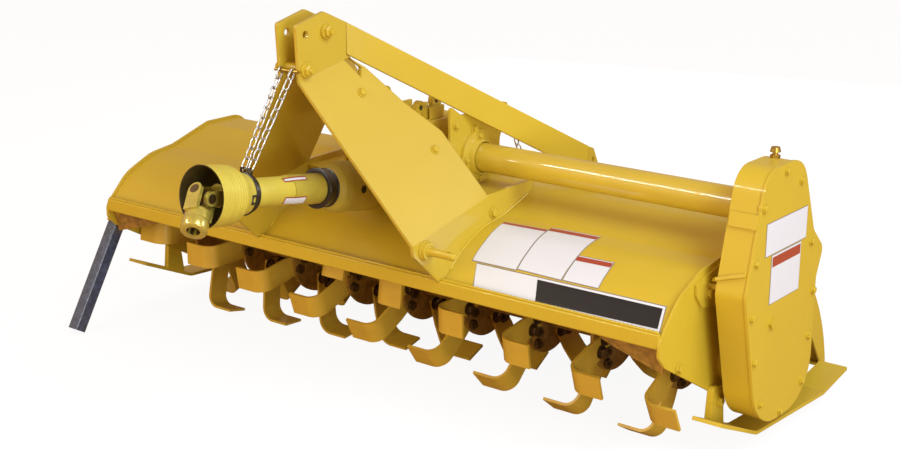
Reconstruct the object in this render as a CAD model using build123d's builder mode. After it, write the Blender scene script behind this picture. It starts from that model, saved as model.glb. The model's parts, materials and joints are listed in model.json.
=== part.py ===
from build123d import *
import math
import os

# Three-point mounted rotary tiller with a side chain drive.
# Frame: the origin is midway between the two lower hitch pins. +X runs towards the chain case,
# -Y towards the tractor and +Z up. All lengths are in millimetres and all angles in degrees.

os.makedirs("parts", exist_ok=True)

# ---------------------------------------------------------------- rotor and ground
working_width = 2024.0
rotor_y = 435.0
rotor_z = -261.0
tip_radius = 266.0
rotor_tube_radius = 45.0
rotor_tube_wall = 8.0
flange_radius = 124.0
flange_thickness = 10.0
flange_count = 9
tine_thickness = 8.0
tine_width = 72.0
tine_root_width = 54.0
tine_root_radius = 62.0
tine_reach = 105.0
tine_bend_radius = 34.0
tines_per_side = 3
flange_turn = 8.5
first_turn = -12.0
hand_turn = 34.0
stub_radius = 25.0
running_clearance = 0.05
floor_z = rotor_z - tip_radius

# ---------------------------------------------------------------- hood and side plates
hood_sheet = 6.0
lip_y = 70.0
lip_z = -139.0
lip_height = 40.0
lip_depth = 12.0
side_thickness = 8.0
side_proud = 8.0
plate_half = working_width / 2
outer_half = plate_half + side_thickness
flange_pitch = 2 * (plate_half - 124) / (flange_count - 1)

# ---------------------------------------------------------------- three-point hitch
lower_spread = 684.0
lug_thickness = 10.0
mast_height = 551.0
top_link_y = -111.0
top_link_bore = 9.75
clevis_gap = 56.0
bend_slope = 0.2
lower_bend_z = 33.0
pin_radius = 11.1
pin_length = 95.0
pin_boss_radius = 24.0
pin_boss_length = 14.0
linch_radius = 5.5
linch_inset = 16.0
spacer_radius = 14.0

# ---------------------------------------------------------------- transmission
tube_y = 412.0
tube_z = 155.0
tube_radius = 41.0
tube_wall = 5.0
case_inner_x = outer_half + 46
case_depth = 78.0
cover_thickness = 8.0
plug_radius = 15.0
plug_height = 9.0
case_wall = 8.0
gearbox_half = 118.0
gearbox_base_z = 76.0
gearbox_top_z = 268.0
support_x = 190.0
support_thickness = 8.0

# ---------------------------------------------------------------- driveline
# Stations are measured along the shaft from the front joint, rearwards.
shaft_slope = 8.8
joint_y = -457.0
joint_z = 185.7
bell_rim = -3.0
bell_back = 132.0
bell_radius = 81.0
guard_wall = 3.0
guard_sides = 36
slim_guard_radius = 39.0
wide_guard_radius = slim_guard_radius + guard_wall
guard_step = 296.0
rear_ring_start = 418.0
rear_ring_end = 452.0
rear_bell_end = 648.0
rear_bell_radius = 72.0
shaft_radius = 22.0
clutch_start = 596.0
clutch_end = 672.0
clutch_radius = 60.0
input_end = 700.0
input_radius = 24.0
ear_inner = 25.0
ear_thickness = 11.0
ear_radius = 19.0
cross_radius = 9.0
fork_depth = 52.0
fork_base = 8.0
yoke_length = 108.0
yoke_radius = 32.0
spline_radius = 17.45
yoke_hang = 50.0
yoke_swing = 24.0

# ---------------------------------------------------------------- tailgate
gate_hinge_y = 738.0
gate_hinge_z = -40.0
gate_sheet = 5.0
gate_clearance = 10.0
hinge_rod_radius = 8.0
knuckle_radius = 13.0
knuckle_length = 70.0
knuckle_gap = 2.0
gate_knuckles = [plate_half * share for share in (-0.87, -0.3, 0.3, 0.87)]
chain_x = 60.0

# ---------------------------------------------------------------- skids and parking stand
skid_inner_x = outer_half + 11
skid_width = 85.0
skid_thickness = 10.0
stand_tube = 42.0
stand_wall = 4.0
stand_sleeve_wall = 4.0
stand_clearance = 0.6
stand_lean = 30.9
stand_x = -(outer_half + 30.0)
stand_top_y = 172.0
stand_top_z = -110.0

# ---------------------------------------------------------------- chains
link_wire = 5.0
link_pitch = 27.0
link_width = 20.0

# Hood section, front to rear: lip foot, lip top, shoulder, brow, crease, deck front, deck rear, tail.
hood_line = [
    (lip_y, lip_z),
    (lip_y, lip_z + 27),
    (150, -38),
    (250, 8),
    (345, 20),
    (505, 70),
    (650, 70),
    (gate_hinge_y - 6.0, gate_hinge_z + 12.0),
]
hood_radii = [50, 250, 250, 30, 60, 60]


def save(piece, name):
    piece.part.label = name
    export_step(piece.part, f"parts/{name}.step")


def flat_plate(side, inner, thickness, corners, radii, holes=()):
    """A plate parallel to the side plates: rounded outline, round holes given as (y, z, radius)."""
    with BuildPart() as piece:
        with BuildSketch(Plane.YZ.offset(side * inner)):
            with BuildLine():
                FilletPolyline(*corners, radius=radii, close=True)
            make_face()
            for y, z, radius in holes:
                with Locations((y, z)):
                    Circle(radius, mode=Mode.SUBTRACT)
        extrude(amount=side * thickness)
    return piece


def bar_along_x(x_low, x_high, y, z, radius, inner=0):
    """A round bar or tube that lies along X."""
    with BuildPart() as piece:
        with BuildSketch(Plane.YZ.offset(x_low)):
            with Locations((y, z)):
                Circle(radius)
                if inner:
                    Circle(inner, mode=Mode.SUBTRACT)
        extrude(amount=x_high - x_low)
    return piece


def hood_top_region():
    """The side view area below the hood's outer face, to trim what stands on the hood."""
    with BuildSketch(Plane.YZ) as region:
        with BuildLine():
            top = FilletPolyline(*hood_line, radius=hood_radii)
            Polyline(top @ 1, (hood_line[-1][0], floor_z), (lip_y, floor_z), top @ 0)
        make_face()
        with Locations((lip_y - lip_depth / 2, lip_z + lip_height / 2)):
            Rectangle(lip_depth, lip_height)
    return region.sketch


def shaft_plane(station):
    """A plane square to the driveline at a station, its normal pointing rearwards."""
    angle = math.radians(shaft_slope)
    along = Vector(0, math.cos(angle), -math.sin(angle))
    origin = Vector(0, joint_y, joint_z) + along * station
    return Plane(origin=origin, x_dir=(1, 0, 0), z_dir=along)


# ================================================================ hood
with BuildPart() as hood:
    with BuildSketch(Plane.YZ.offset(-plate_half)):
        with BuildLine():
            FilletPolyline(*hood_line, radius=hood_radii)
            offset(amount=hood_sheet, side=Side.RIGHT)
        make_face()
    extrude(amount=2 * plate_half)
save(hood, "hood")

with BuildPart() as lip_bar:
    with BuildSketch(Plane.YZ.offset(-plate_half)):
        with Locations((lip_y - lip_depth / 2, lip_z + lip_height / 2)):
            Rectangle(lip_depth, lip_height)
    extrude(amount=2 * plate_half)
    fillet(lip_bar.edges().filter_by(Axis.X).group_by(Axis.Y)[0], 5)
save(lip_bar, "lip_bar")

# ================================================================ side plates
side_top = [
    (lip_y - lip_depth - 2, lip_z + 20),
    (150 - side_proud, -38 + side_proud),
    (250, 8 + side_proud),
    (345, 20 + side_proud),
    (505, 70 + side_proud),
    (650, 70 + side_proud),
    (gate_hinge_y + 18, gate_hinge_z + 24),
]
side_top_radii = [40, 150, 150, 30, 60, 60, 20]
side_foot = [
    (gate_hinge_y + 18, gate_hinge_z - 24),
    (gate_hinge_y - 60, -200),
    (660, -330),
    (520, rotor_z - 115),
    (405, rotor_z - 115),
    (86, -192),
    (lip_y - lip_depth - 2, lip_z - 20),
]
side_foot_radii = [20, 60, 60, 90, 60, 40, 20]

for side, name in ((-1, "side_plate_right"), (1, "side_plate_left")):
    corners = side_top + side_foot
    radii = side_top_radii + side_foot_radii
    bore = [(rotor_y, rotor_z, stub_radius + 12), (gate_hinge_y, gate_hinge_z, hinge_rod_radius)]
    save(flat_plate(side, plate_half, side_thickness, corners, radii, bore), name)

# ================================================================ hitch plates
lug_outer_x = lower_spread / 2
clevis_outer_x = clevis_gap / 2 + lug_thickness
mast_front_y = -160.0
mast_back_y = 520.0
mast_top_z = mast_height + 52
cheek_front_y = -146.0
cheek_back_y = 47.0
upper_bend_z = mast_height - 94

mast_outline = [
    (102, lip_z - 6),
    (-46, -8),
    (cheek_front_y + 8, mast_height - 123),
    (cheek_front_y, mast_height + 27),
    (-40, mast_top_z),
    (cheek_back_y, mast_height + 14),
    (cheek_back_y - 2, mast_height - 73),
    (92, mast_height - 111),
    (160, 342),
    (234, 260),
    (274, 92),
    (496, 96),
    (452, 10),
]
mast_radii = [0, 22, 0, 8, 8, 0, 0, 8, 0, 0, 0, 8, 0]
# Window in the top rear corner of each web: (y, z).
mast_window = [(36, mast_height - 85), (57, mast_height - 83), (80, mast_height - 110), (62, mast_height - 133)]


def hitch_plate(side):
    """A lug, a slanted web and a clevis cheek, bent from one plate along two sloping lines."""
    low, high = lug_outer_x, clevis_outer_x
    reach = math.hypot(1, bend_slope) * (mast_back_y - mast_front_y)
    section = Plane(
        origin=(0, mast_front_y, bend_slope * mast_front_y), x_dir=(1, 0, 0), z_dir=(0, -1, 0)
    )
    with BuildPart() as piece:
        with BuildSketch(section):
            with BuildLine():
                Polyline(
                    (side * low, -300),
                    (side * low, lower_bend_z),
                    (side * high, upper_bend_z),
                    (side * high, 800),
                )
                offset(amount=lug_thickness, side=Side.LEFT if side > 0 else Side.RIGHT)
            make_face()
        extrude(amount=reach, dir=(0, 1, bend_slope))
        with BuildSketch(Plane.YZ):
            with BuildLine():
                FilletPolyline(*mast_outline, radius=mast_radii, close=True)
            make_face()
            with BuildLine():
                Polyline(*mast_window, close=True)
            make_face(mode=Mode.SUBTRACT)
            with Locations((top_link_y, mast_height)):
                Circle(top_link_bore, mode=Mode.SUBTRACT)
        extrude(amount=side * 400, mode=Mode.INTERSECT)
        extrude(to_extrude=hood_top_region(), amount=side * 400, mode=Mode.SUBTRACT)
    return piece


for side, name in ((-1, "hitch_plate_right"), (1, "hitch_plate_left")):
    save(hitch_plate(side), name)

with BuildPart() as hitch_pins:
    for side in (-1, 1):
        with BuildSketch(Plane.YZ.offset(side * lug_outer_x)):
            Circle(pin_boss_radius)
        extrude(amount=side * pin_boss_length)
        with BuildSketch(Plane.YZ.offset(side * (lug_outer_x + pin_boss_length))):
            Circle(pin_radius)
        extrude(amount=side * (pin_length - pin_boss_length))
    with BuildSketch(Plane.XY):
        for side in (-1, 1):
            with Locations((side * (lug_outer_x + pin_length - linch_inset), 0)):
                Circle(linch_radius)
    extrude(amount=2 * pin_radius, both=True, mode=Mode.SUBTRACT)
save(hitch_pins, "hitch_pins")

# Round spacers that hold the two clevis cheeks apart: (y, z).
mast_bolts = [(-35, mast_height + 1), (-114, mast_height - 91)]
with BuildPart() as mast_spacers:
    with BuildSketch(Plane.YZ.offset(-clevis_gap / 2)):
        with Locations(*mast_bolts):
            Circle(spacer_radius)
    extrude(amount=clevis_gap)
save(mast_spacers, "mast_spacers")

# The chain bar lies against the front edges of the two cheeks.
mast_bar_z = mast_height - 93
mast_bar_radius = 4.5
chain_bar_y = cheek_front_y + 8 - 8 * (mast_bar_z - mast_height + 123) / 150 - mast_bar_radius
mast_bar = bar_along_x(-clevis_outer_x - 4, clevis_outer_x + 4, chain_bar_y, mast_bar_z, mast_bar_radius)
save(mast_bar, "mast_bar")

# ================================================================ rear braces
brace_foot_x = 400.0
brace_foot_y = 690.0
brace_foot_z = 75.0
brace_height = 85.0
brace_start_y = cheek_back_y
brace_top_z = mast_height + 14 - brace_height
brace_drop = brace_top_z - brace_foot_z
tab_length = 46.0

for side, name in ((-1, "brace_right"), (1, "brace_left")):
    run = Vector(side * (brace_foot_x - clevis_outer_x), brace_foot_y - brace_start_y, -brace_drop)
    with BuildPart() as brace:
        start = Plane(origin=(0, brace_start_y, 0), x_dir=(1, 0, 0), z_dir=(0, -1, 0))
        with BuildSketch(start):
            with Locations((side * (clevis_outer_x - lug_thickness / 2), brace_top_z + brace_height / 2)):
                Rectangle(lug_thickness, brace_height)
        extrude(amount=run.length, dir=run.normalized())
        foot_x = side * (brace_foot_x - lug_thickness)
        with BuildSketch(Plane.YZ.offset(foot_x)):
            with BuildLine():
                FilletPolyline(
                    (brace_foot_y - 4, brace_foot_z - 60),
                    (brace_foot_y - 4, brace_foot_z + brace_height),
                    (brace_foot_y + 22, brace_foot_z + brace_height - 8),
                    (brace_foot_y + tab_length, brace_foot_z + 30),
                    (brace_foot_y + tab_length - 12, brace_foot_z - 60),
                    radius=[0, 4, 14, 10, 0],
                    close=True,
                )
            make_face()
            with Locations((brace_foot_y + 20, brace_foot_z + 38)):
                SlotOverall(26, 11, rotation=90, mode=Mode.SUBTRACT)
        extrude(amount=side * lug_thickness)
        extrude(to_extrude=hood_top_region(), amount=side * 500, mode=Mode.SUBTRACT)
    save(brace, name)

# ================================================================ gearbox
input_face_y = 232.0
with BuildPart() as gearbox:
    with BuildSketch(Plane.YZ.offset(-gearbox_half)):
        with BuildLine():
            FilletPolyline(
                (input_face_y, 22),
                (input_face_y, 150),
                (tube_y - 150, gearbox_top_z),
                (tube_y + 30, gearbox_top_z),
                (tube_y + 66, tube_z + 40),
                (tube_y + 66, 22),
                radius=[12, 30, 24, 24, 30, 12],
                close=True,
            )
        make_face()
    extrude(amount=2 * gearbox_half)
    chamfer(gearbox.faces().sort_by(Axis.X)[0].edges(), 8)
    chamfer(gearbox.faces().sort_by(Axis.X)[-1].edges(), 8)
    with BuildSketch(Plane.XY.offset(gearbox_base_z)):
        with Locations((0, tube_y - 40)):
            RectangleRounded(2 * gearbox_half + 70, 190, 14)
    extrude(amount=12)
    for side, reach in ((-1, support_x), (1, support_x)):
        with BuildSketch(Plane.YZ.offset(side * (gearbox_half - 8))):
            with Locations((tube_y, tube_z)):
                Circle(58)
        extrude(amount=side * (reach - gearbox_half + 8))
    for x in (-60, 0, 60):
        with BuildSketch(Plane.YZ.offset(x - 5)):
            with BuildLine():
                Polyline(
                    (input_face_y + 4, 140),
                    (tube_y - 130, gearbox_top_z + 16),
                    (tube_y + 20, gearbox_top_z + 16),
                    (tube_y + 20, 140),
                    close=True,
                )
            make_face()
        extrude(amount=10)
    for y, z in ((tube_y - 129, gearbox_top_z + 34), (tube_y - 56, gearbox_top_z + 45)):
        with BuildSketch(Plane.YZ.offset(gearbox_half - 34)):
            with Locations((y, z)):
                Circle(20)
            with Locations((y, (z + gearbox_top_z - 20) / 2)):
                Rectangle(40, z - gearbox_top_z + 20)
            with Locations((y, z)):
                Circle(9, mode=Mode.SUBTRACT)
        extrude(amount=14)
    extrude(to_extrude=hood_top_region(), amount=gearbox_half + 40, both=True, mode=Mode.SUBTRACT)
    with BuildSketch(shaft_plane(clutch_end + 6)):
        Circle(46)
    extrude(amount=input_end - clutch_end)
    with BuildSketch(shaft_plane(clutch_end)):
        Circle(input_radius + running_clearance)
    extrude(amount=input_end - clutch_end + 24, mode=Mode.SUBTRACT)
save(gearbox, "gearbox")

with BuildPart() as gearbox_bed:
    with BuildSketch(Plane.XY.offset(gearbox_base_z - 8)):
        with Locations((0, tube_y - 40)):
            Rectangle(2 * (lug_outer_x - lug_thickness), 200)
        with Locations((0, tube_y - 60)):
            Rectangle(2 * gearbox_half, 300, mode=Mode.SUBTRACT)
    extrude(amount=8)
save(gearbox_bed, "gearbox_bed")

support_outline = [
    (tube_y - 122, gearbox_base_z + 12),
    (tube_y - 122, tube_z + 164),
    (tube_y - 72, tube_z + 130),
    (tube_y + 60, tube_z + 126),
    (tube_y + 130, tube_z + 84),
    (tube_y + 70, gearbox_base_z),
    (tube_y + 70, 50),
    (tube_y - 20, 30),
]
support_radii = [4, 8, 12, 30, 20, 4, 0, 0]
for side, name in ((-1, "gearbox_support_right"), (1, "gearbox_support_left")):
    with BuildPart() as support:
        with BuildSketch(Plane.YZ.offset(side * support_x)):
            with BuildLine():
                FilletPolyline(*support_outline, radius=support_radii, close=True)
            make_face()
        extrude(amount=side * support_thickness)
        extrude(to_extrude=hood_top_region(), amount=side * 300, mode=Mode.SUBTRACT)
        with BuildSketch(Plane.XY.offset(gearbox_base_z - 8)):
            with Locations((side * support_x, tube_y - 40)):
                Rectangle(60, 200)
        extrude(amount=8, mode=Mode.SUBTRACT)
    save(support, name)

# ================================================================ torque tube
tube_start_x = support_x + support_thickness
with BuildPart() as torque_tube:
    with BuildSketch(Plane.YZ.offset(tube_start_x)):
        with Locations((tube_y, tube_z)):
            Circle(78)
            Circle(tube_radius - tube_wall, mode=Mode.SUBTRACT)
    extrude(amount=10)
    with BuildSketch(Plane.YZ.offset(tube_start_x)):
        with Locations((tube_y, tube_z)):
            Circle(tube_radius + 16)
            Circle(tube_radius - tube_wall, mode=Mode.SUBTRACT)
    extrude(amount=26, taper=20)
    with BuildSketch(Plane.YZ.offset(tube_start_x + 12)):
        with Locations((tube_y, tube_z)):
            Circle(tube_radius)
            Circle(tube_radius - tube_wall, mode=Mode.SUBTRACT)
    extrude(amount=case_inner_x - tube_start_x - 12)
save(torque_tube, "torque_tube")

# ================================================================ chain case
# Case outline seen from the side. Columns: y, z, corner radius; the first two rows follow the
# drive shaft and the rest follow the rotor shaft.
case_corners = [
    (tube_y - 100, tube_z + 122, 80),
    (tube_y + 99, tube_z + 122, 90),
    (rotor_y + 162, rotor_z + 327, 40),
    (rotor_y + 227, rotor_z + 266, 28),
    (rotor_y + 195, rotor_z + 191, 40),
    (rotor_y + 197, rotor_z - 147, 130),
    (rotor_y - 105, rotor_z - 147, 140),
    (rotor_y - 203, rotor_z + 231, 50),
]


def case_outline(x, grow):
    """The case outline on a plane at x, grown outwards all round."""
    with BuildSketch(Plane.YZ.offset(x)) as outline:
        with BuildLine():
            FilletPolyline(
                *[(y, z) for y, z, radius in case_corners],
                radius=[radius for y, z, radius in case_corners],
                close=True,
            )
        make_face()
        offset(amount=grow)
    return outline.sketch


with BuildPart() as chain_case:
    extrude(to_extrude=case_outline(case_inner_x, -2), amount=case_depth)
    extrude(
        to_extrude=case_outline(case_inner_x + case_wall, -2 - case_wall),
        amount=case_depth - case_wall,
        mode=Mode.SUBTRACT,
    )
save(chain_case, "chain_case")

with BuildPart() as chain_case_cover:
    extrude(to_extrude=case_outline(case_inner_x + case_depth, 0), amount=cover_thickness)
    with BuildSketch(Plane.YZ.offset(case_inner_x + case_depth + cover_thickness)):
        with Locations((rotor_y - 57, rotor_z + 134)):
            RegularPolygon(plug_radius, 6)
    extrude(amount=plug_height)
save(chain_case_cover, "chain_case_cover")

bearing_length = 44.0
with BuildPart() as rotor_hubs:
    with BuildSketch(Plane.YZ.offset(outer_half)):
        with Locations((rotor_y, rotor_z)):
            Circle(80)
    extrude(amount=case_inner_x - outer_half)
    with BuildSketch(Plane.YZ.offset(-outer_half)):
        with Locations((rotor_y, rotor_z)):
            Circle(62)
    extrude(amount=-bearing_length)
    with BuildSketch(Plane.YZ.offset(-outer_half - bearing_length + 10)):
        with Locations((rotor_y, rotor_z)):
            Circle(stub_radius + running_clearance)
    extrude(amount=case_inner_x + outer_half + bearing_length, mode=Mode.SUBTRACT)
save(rotor_hubs, "rotor_hubs")

with BuildPart() as case_bracket:
    with BuildSketch(Plane.YZ.offset(outer_half)):
        with BuildLine():
            FilletPolyline(
                (211, -8), (214, -41), (246, -78), (362, -100), (366, 20), radius=[4, 20, 20, 6, 4], close=True
            )
        make_face()
    extrude(amount=side_thickness)
    with BuildSketch(Plane.YZ.offset(outer_half + side_thickness)):
        with Locations((279, -28), (340, -60)):
            Circle(9)
    extrude(amount=case_inner_x - outer_half - side_thickness)
save(case_bracket, "case_bracket")

# ================================================================ rotor
rotor_half = plate_half - 8
with BuildPart() as rotor_shaft:
    with BuildSketch(Plane.YZ.offset(-rotor_half)):
        with Locations((rotor_y, rotor_z)):
            Circle(rotor_tube_radius)
            Circle(rotor_tube_radius - rotor_tube_wall, mode=Mode.SUBTRACT)
    extrude(amount=2 * rotor_half)
    for index in range(flange_count):
        x = (index - (flange_count - 1) / 2) * flange_pitch
        with BuildSketch(Plane.YZ.offset(x - flange_thickness / 2)):
            with Locations((rotor_y, rotor_z)):
                Circle(flange_radius)
                Circle(rotor_tube_radius, mode=Mode.SUBTRACT)
        extrude(amount=flange_thickness)
    for side in (-1, 1):
        with BuildSketch(Plane.YZ.offset(side * (rotor_half - 12))):
            with Locations((rotor_y, rotor_z)):
                Circle(rotor_tube_radius)
        extrude(amount=side * 12)
        with BuildSketch(Plane.YZ.offset(side * rotor_half)):
            with Locations((rotor_y, rotor_z)):
                Circle(stub_radius)
        extrude(amount=side * (outer_half + 30 - rotor_half))
save(rotor_shaft, "rotor_shaft")


def tine(hand):
    """One bent blade, hanging straight down from the rotor axis, its foot towards hand times X."""
    start = hand * flange_thickness / 2
    foot = math.sqrt(tip_radius**2 - (tine_width / 2) ** 2)
    with BuildPart() as blade:
        with BuildSketch(Plane.XZ):
            with BuildLine():
                FilletPolyline(
                    (start, -tine_root_radius),
                    (start, -foot),
                    (start + hand * tine_reach, -foot),
                    radius=tine_bend_radius + tine_thickness,
                )
                offset(amount=tine_thickness, side=Side.LEFT if hand > 0 else Side.RIGHT)
            make_face()
        extrude(amount=tine_width, both=True)
        with BuildSketch(Plane.YZ):
            with BuildLine():
                Polyline(
                    (-tine_root_width / 2, -tine_root_radius),
                    (tine_root_width / 2, -tine_root_radius),
                    (tine_width / 2, -150),
                    (tine_width / 2, -tip_radius - 2),
                    (-tine_width / 2, -tip_radius - 2),
                    (-tine_width / 2, -150),
                    close=True,
                )
            make_face()
        extrude(amount=hand * (tine_reach + 20), mode=Mode.INTERSECT)
    return blade.part


with BuildPart() as tines:
    for hand, offset_turn in ((1, first_turn), (-1, first_turn + hand_turn)):
        blade = tine(hand)
        for index in range(flange_count):
            x = (index - (flange_count - 1) / 2) * flange_pitch
            for place in range(tines_per_side):
                turn = offset_turn + flange_turn * index + 120 * place
                with Locations(Location((x, rotor_y, rotor_z), (turn, 0, 0))):
                    add(blade)
save(tines, "tines")

# ================================================================ skids
# Runner, front to rear: toe, front bend, rear bend, heel.
skid_line = [(217, -357), (412, -444), (820, -466), (972, -440)]
for side, name in ((-1, "skid_right"), (1, "skid_left")):
    with BuildPart() as skid:
        with BuildSketch(Plane.YZ.offset(side * skid_inner_x)):
            with BuildLine():
                FilletPolyline(*skid_line, radius=[60, 30])
                offset(amount=skid_thickness, side=Side.RIGHT)
            make_face()
        extrude(amount=side * skid_width)
        with BuildSketch(Plane.YZ.offset(side * outer_half)):
            with BuildLine():
                FilletPolyline((300, -396), (310, -306), (358, -318), (372, -428), radius=[0, 12, 12, 0], close=True)
            make_face()
            with BuildLine():
                FilletPolyline((600, -450), (596, -262), (652, -262), (664, -454), radius=[0, 12, 12, 0], close=True)
            make_face()
        extrude(amount=side * (skid_inner_x + 8 - outer_half))
    save(skid, name)

# ================================================================ tailgate
gate_middle = (gate_hinge_y + 247, gate_hinge_z - 218)
gate_toe = (gate_hinge_y + 342, gate_hinge_z - 450)


def gate_section(x):
    """The tailgate's curved sheet in section, on a plane at x."""
    with BuildSketch(Plane.YZ.offset(x)) as section:
        with BuildLine():
            ThreePointArc((gate_hinge_y, gate_hinge_z), gate_middle, gate_toe)
            offset(amount=gate_sheet, side=Side.RIGHT)
        make_face()
    return section.sketch


gate_half = plate_half - gate_clearance
# Lug for the chain on the tailgate's outer face, and its hole: (y, z).
gate_hole = (gate_hinge_y + 228, gate_hinge_z - 156)
gate_lug = [(gate_hole[0] - 31, gate_hole[1] - 9), (gate_hole[0] - 8, gate_hole[1] + 16),
            (gate_hole[0] + 16, gate_hole[1] + 6), (gate_hole[0] + 26, gate_hole[1] - 66)]
with BuildPart() as tailgate:
    extrude(to_extrude=gate_section(-gate_half), amount=2 * gate_half)
    with BuildSketch(Plane.YZ.offset(-gate_half)):
        with Locations((gate_hinge_y, gate_hinge_z)):
            Circle(knuckle_radius + 5)
    extrude(amount=2 * gate_half, mode=Mode.SUBTRACT)
    for x in gate_knuckles:
        extrude(to_extrude=gate_section(x - knuckle_length / 2), amount=knuckle_length)
        with BuildSketch(Plane.YZ.offset(x - knuckle_length / 2)):
            with Locations((gate_hinge_y, gate_hinge_z)):
                Circle(knuckle_radius)
        extrude(amount=knuckle_length)
    with BuildSketch(Plane.YZ.offset(-gate_half)):
        with Locations((gate_hinge_y, gate_hinge_z)):
            Circle(hinge_rod_radius + running_clearance)
    extrude(amount=2 * gate_half, mode=Mode.SUBTRACT)
    for side in (-1, 1):
        with BuildSketch(Plane.YZ.offset(side * (gate_half - 5))):
            with BuildLine():
                edge = ThreePointArc((gate_hinge_y + 62, gate_hinge_z - 48), gate_middle, gate_toe)
                Polyline(edge @ 1, (gate_toe[0] - 28, gate_toe[1]), (gate_hinge_y + 62, gate_hinge_z - 80), edge @ 0)
            make_face()
        extrude(amount=side * 5)
    with BuildSketch(Plane.YZ.offset(-gate_half)):
        with Locations((gate_toe[0] - 18, gate_toe[1] + 4)):
            Rectangle(30, 8)
    extrude(amount=2 * gate_half)
    with BuildSketch(Plane.YZ.offset(chain_x - 3)):
        with BuildLine():
            FilletPolyline(*gate_lug, radius=[0, 8, 8, 0], close=True)
        make_face()
        with Locations(gate_hole):
            Circle(5, mode=Mode.SUBTRACT)
    extrude(amount=6)
save(tailgate, "tailgate")

with BuildPart() as hinge_knuckles:
    for x in gate_knuckles:
        side = math.copysign(1, x)
        with BuildSketch(Plane.YZ.offset(x + side * (knuckle_length / 2 + knuckle_gap))):
            with Locations((gate_hinge_y, gate_hinge_z)):
                Circle(knuckle_radius)
                Circle(hinge_rod_radius, mode=Mode.SUBTRACT)
        extrude(amount=side * knuckle_length * 0.6)
save(hinge_knuckles, "hinge_knuckles")

hinge_rod = bar_along_x(-outer_half - 20, outer_half + 20, gate_hinge_y, gate_hinge_z, hinge_rod_radius)
save(hinge_rod, "hinge_rod")

# ================================================================ parking stand
stand_dir = Vector(0, -math.sin(math.radians(stand_lean)), -math.cos(math.radians(stand_lean)))
stand_plane = Plane(origin=(stand_x, stand_top_y, stand_top_z), x_dir=(1, 0, 0), z_dir=stand_dir)
stand_drop = stand_tube / 2 * math.sin(math.radians(stand_lean))
stand_length = (stand_top_z - floor_z - stand_drop) / math.cos(math.radians(stand_lean))
with BuildPart() as stand_leg:
    with BuildSketch(stand_plane):
        RectangleRounded(stand_tube, stand_tube, 6)
        RectangleRounded(stand_tube - 2 * stand_wall, stand_tube - 2 * stand_wall, 3, mode=Mode.SUBTRACT)
    extrude(amount=stand_length)
save(stand_leg, "stand_leg")

sleeve = stand_tube + 2 * stand_clearance
with BuildPart() as stand_sleeve:
    with BuildSketch(stand_plane.offset(10)):
        RectangleRounded(sleeve + 2 * stand_sleeve_wall, sleeve + 2 * stand_sleeve_wall, 8)
        RectangleRounded(sleeve, sleeve, 6, mode=Mode.SUBTRACT)
    extrude(amount=95)
    with BuildSketch(Plane.YZ.offset(-outer_half)):
        with BuildLine():
            Polyline((120, -75), (195, -100), (150, -185), (88, -160), close=True)
        make_face()
    extrude(amount=-(30 - sleeve / 2 - stand_sleeve_wall))
save(stand_sleeve, "stand_sleeve")

# ================================================================ driveline
def guard_shell(piece_name, stations):
    """A moulded shell of flat staves. Stations are (distance along the shaft, outer radius)."""
    spread = 1 / math.cos(math.pi / guard_sides)
    with BuildPart() as shell:
        for distance, radius in stations:
            with BuildSketch(shaft_plane(distance)):
                RegularPolygon(radius, guard_sides)
        loft(ruled=True)
        for distance, radius in stations:
            with BuildSketch(shaft_plane(distance)):
                RegularPolygon((radius - guard_wall) * spread, guard_sides)
        loft(ruled=True, mode=Mode.SUBTRACT)
    save(shell, piece_name)


guard_shell(
    "front_bell",
    [
        (bell_rim, bell_radius),
        (bell_rim + 60, bell_radius - 4),
        (bell_back - 22, bell_radius - 20),
        (bell_back, wide_guard_radius),
        (bell_back + 30, wide_guard_radius),
    ],
)
guard_shell(
    "rear_bell",
    [
        (rear_ring_end, wide_guard_radius + 8),
        (rear_ring_end + 30, wide_guard_radius + 14),
        (rear_ring_end + 70, rear_bell_radius - 4),
        (rear_bell_end, rear_bell_radius),
    ],
)

for name, start, end, radius in (
    ("front_guard_tube", bell_back, guard_step + 40, slim_guard_radius),
    ("rear_guard_tube", guard_step, rear_ring_end - 12, wide_guard_radius),
):
    with BuildPart() as guard_tube:
        with BuildSketch(shaft_plane(start)):
            Circle(radius)
            Circle(radius - guard_wall, mode=Mode.SUBTRACT)
        extrude(amount=end - start)
    save(guard_tube, name)

collar_start = bell_back + 6
collar_length = 18.0
collar_radius = wide_guard_radius + 9
eye_x = 12.0
eye_rise = 17.0
eye_hole = 5.0
eye_slip = math.sqrt(eye_hole**2 - (link_wire / 2) ** 2) - link_wire / 2 - 0.1
with BuildPart() as guard_collars:
    for start, length in ((collar_start, collar_length), (rear_ring_start, rear_ring_end - rear_ring_start)):
        with BuildSketch(shaft_plane(start)):
            Circle(collar_radius)
            Circle(wide_guard_radius, mode=Mode.SUBTRACT)
        extrude(amount=length)
    middle = shaft_plane(collar_start + collar_length / 2)
    for x in (-eye_x, eye_x):
        with BuildSketch(Plane(origin=middle.origin + Vector(x - 2, 0, 0), x_dir=middle.z_dir, z_dir=(1, 0, 0))):
            with Locations((0, (collar_radius + eye_rise + wide_guard_radius + 1) / 2)):
                Rectangle(collar_length, eye_rise + collar_radius - wide_guard_radius - 1)
            with Locations((0, collar_radius + eye_rise - 8)):
                Circle(eye_hole, mode=Mode.SUBTRACT)
        extrude(amount=4)
save(guard_collars, "guard_collars")


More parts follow.
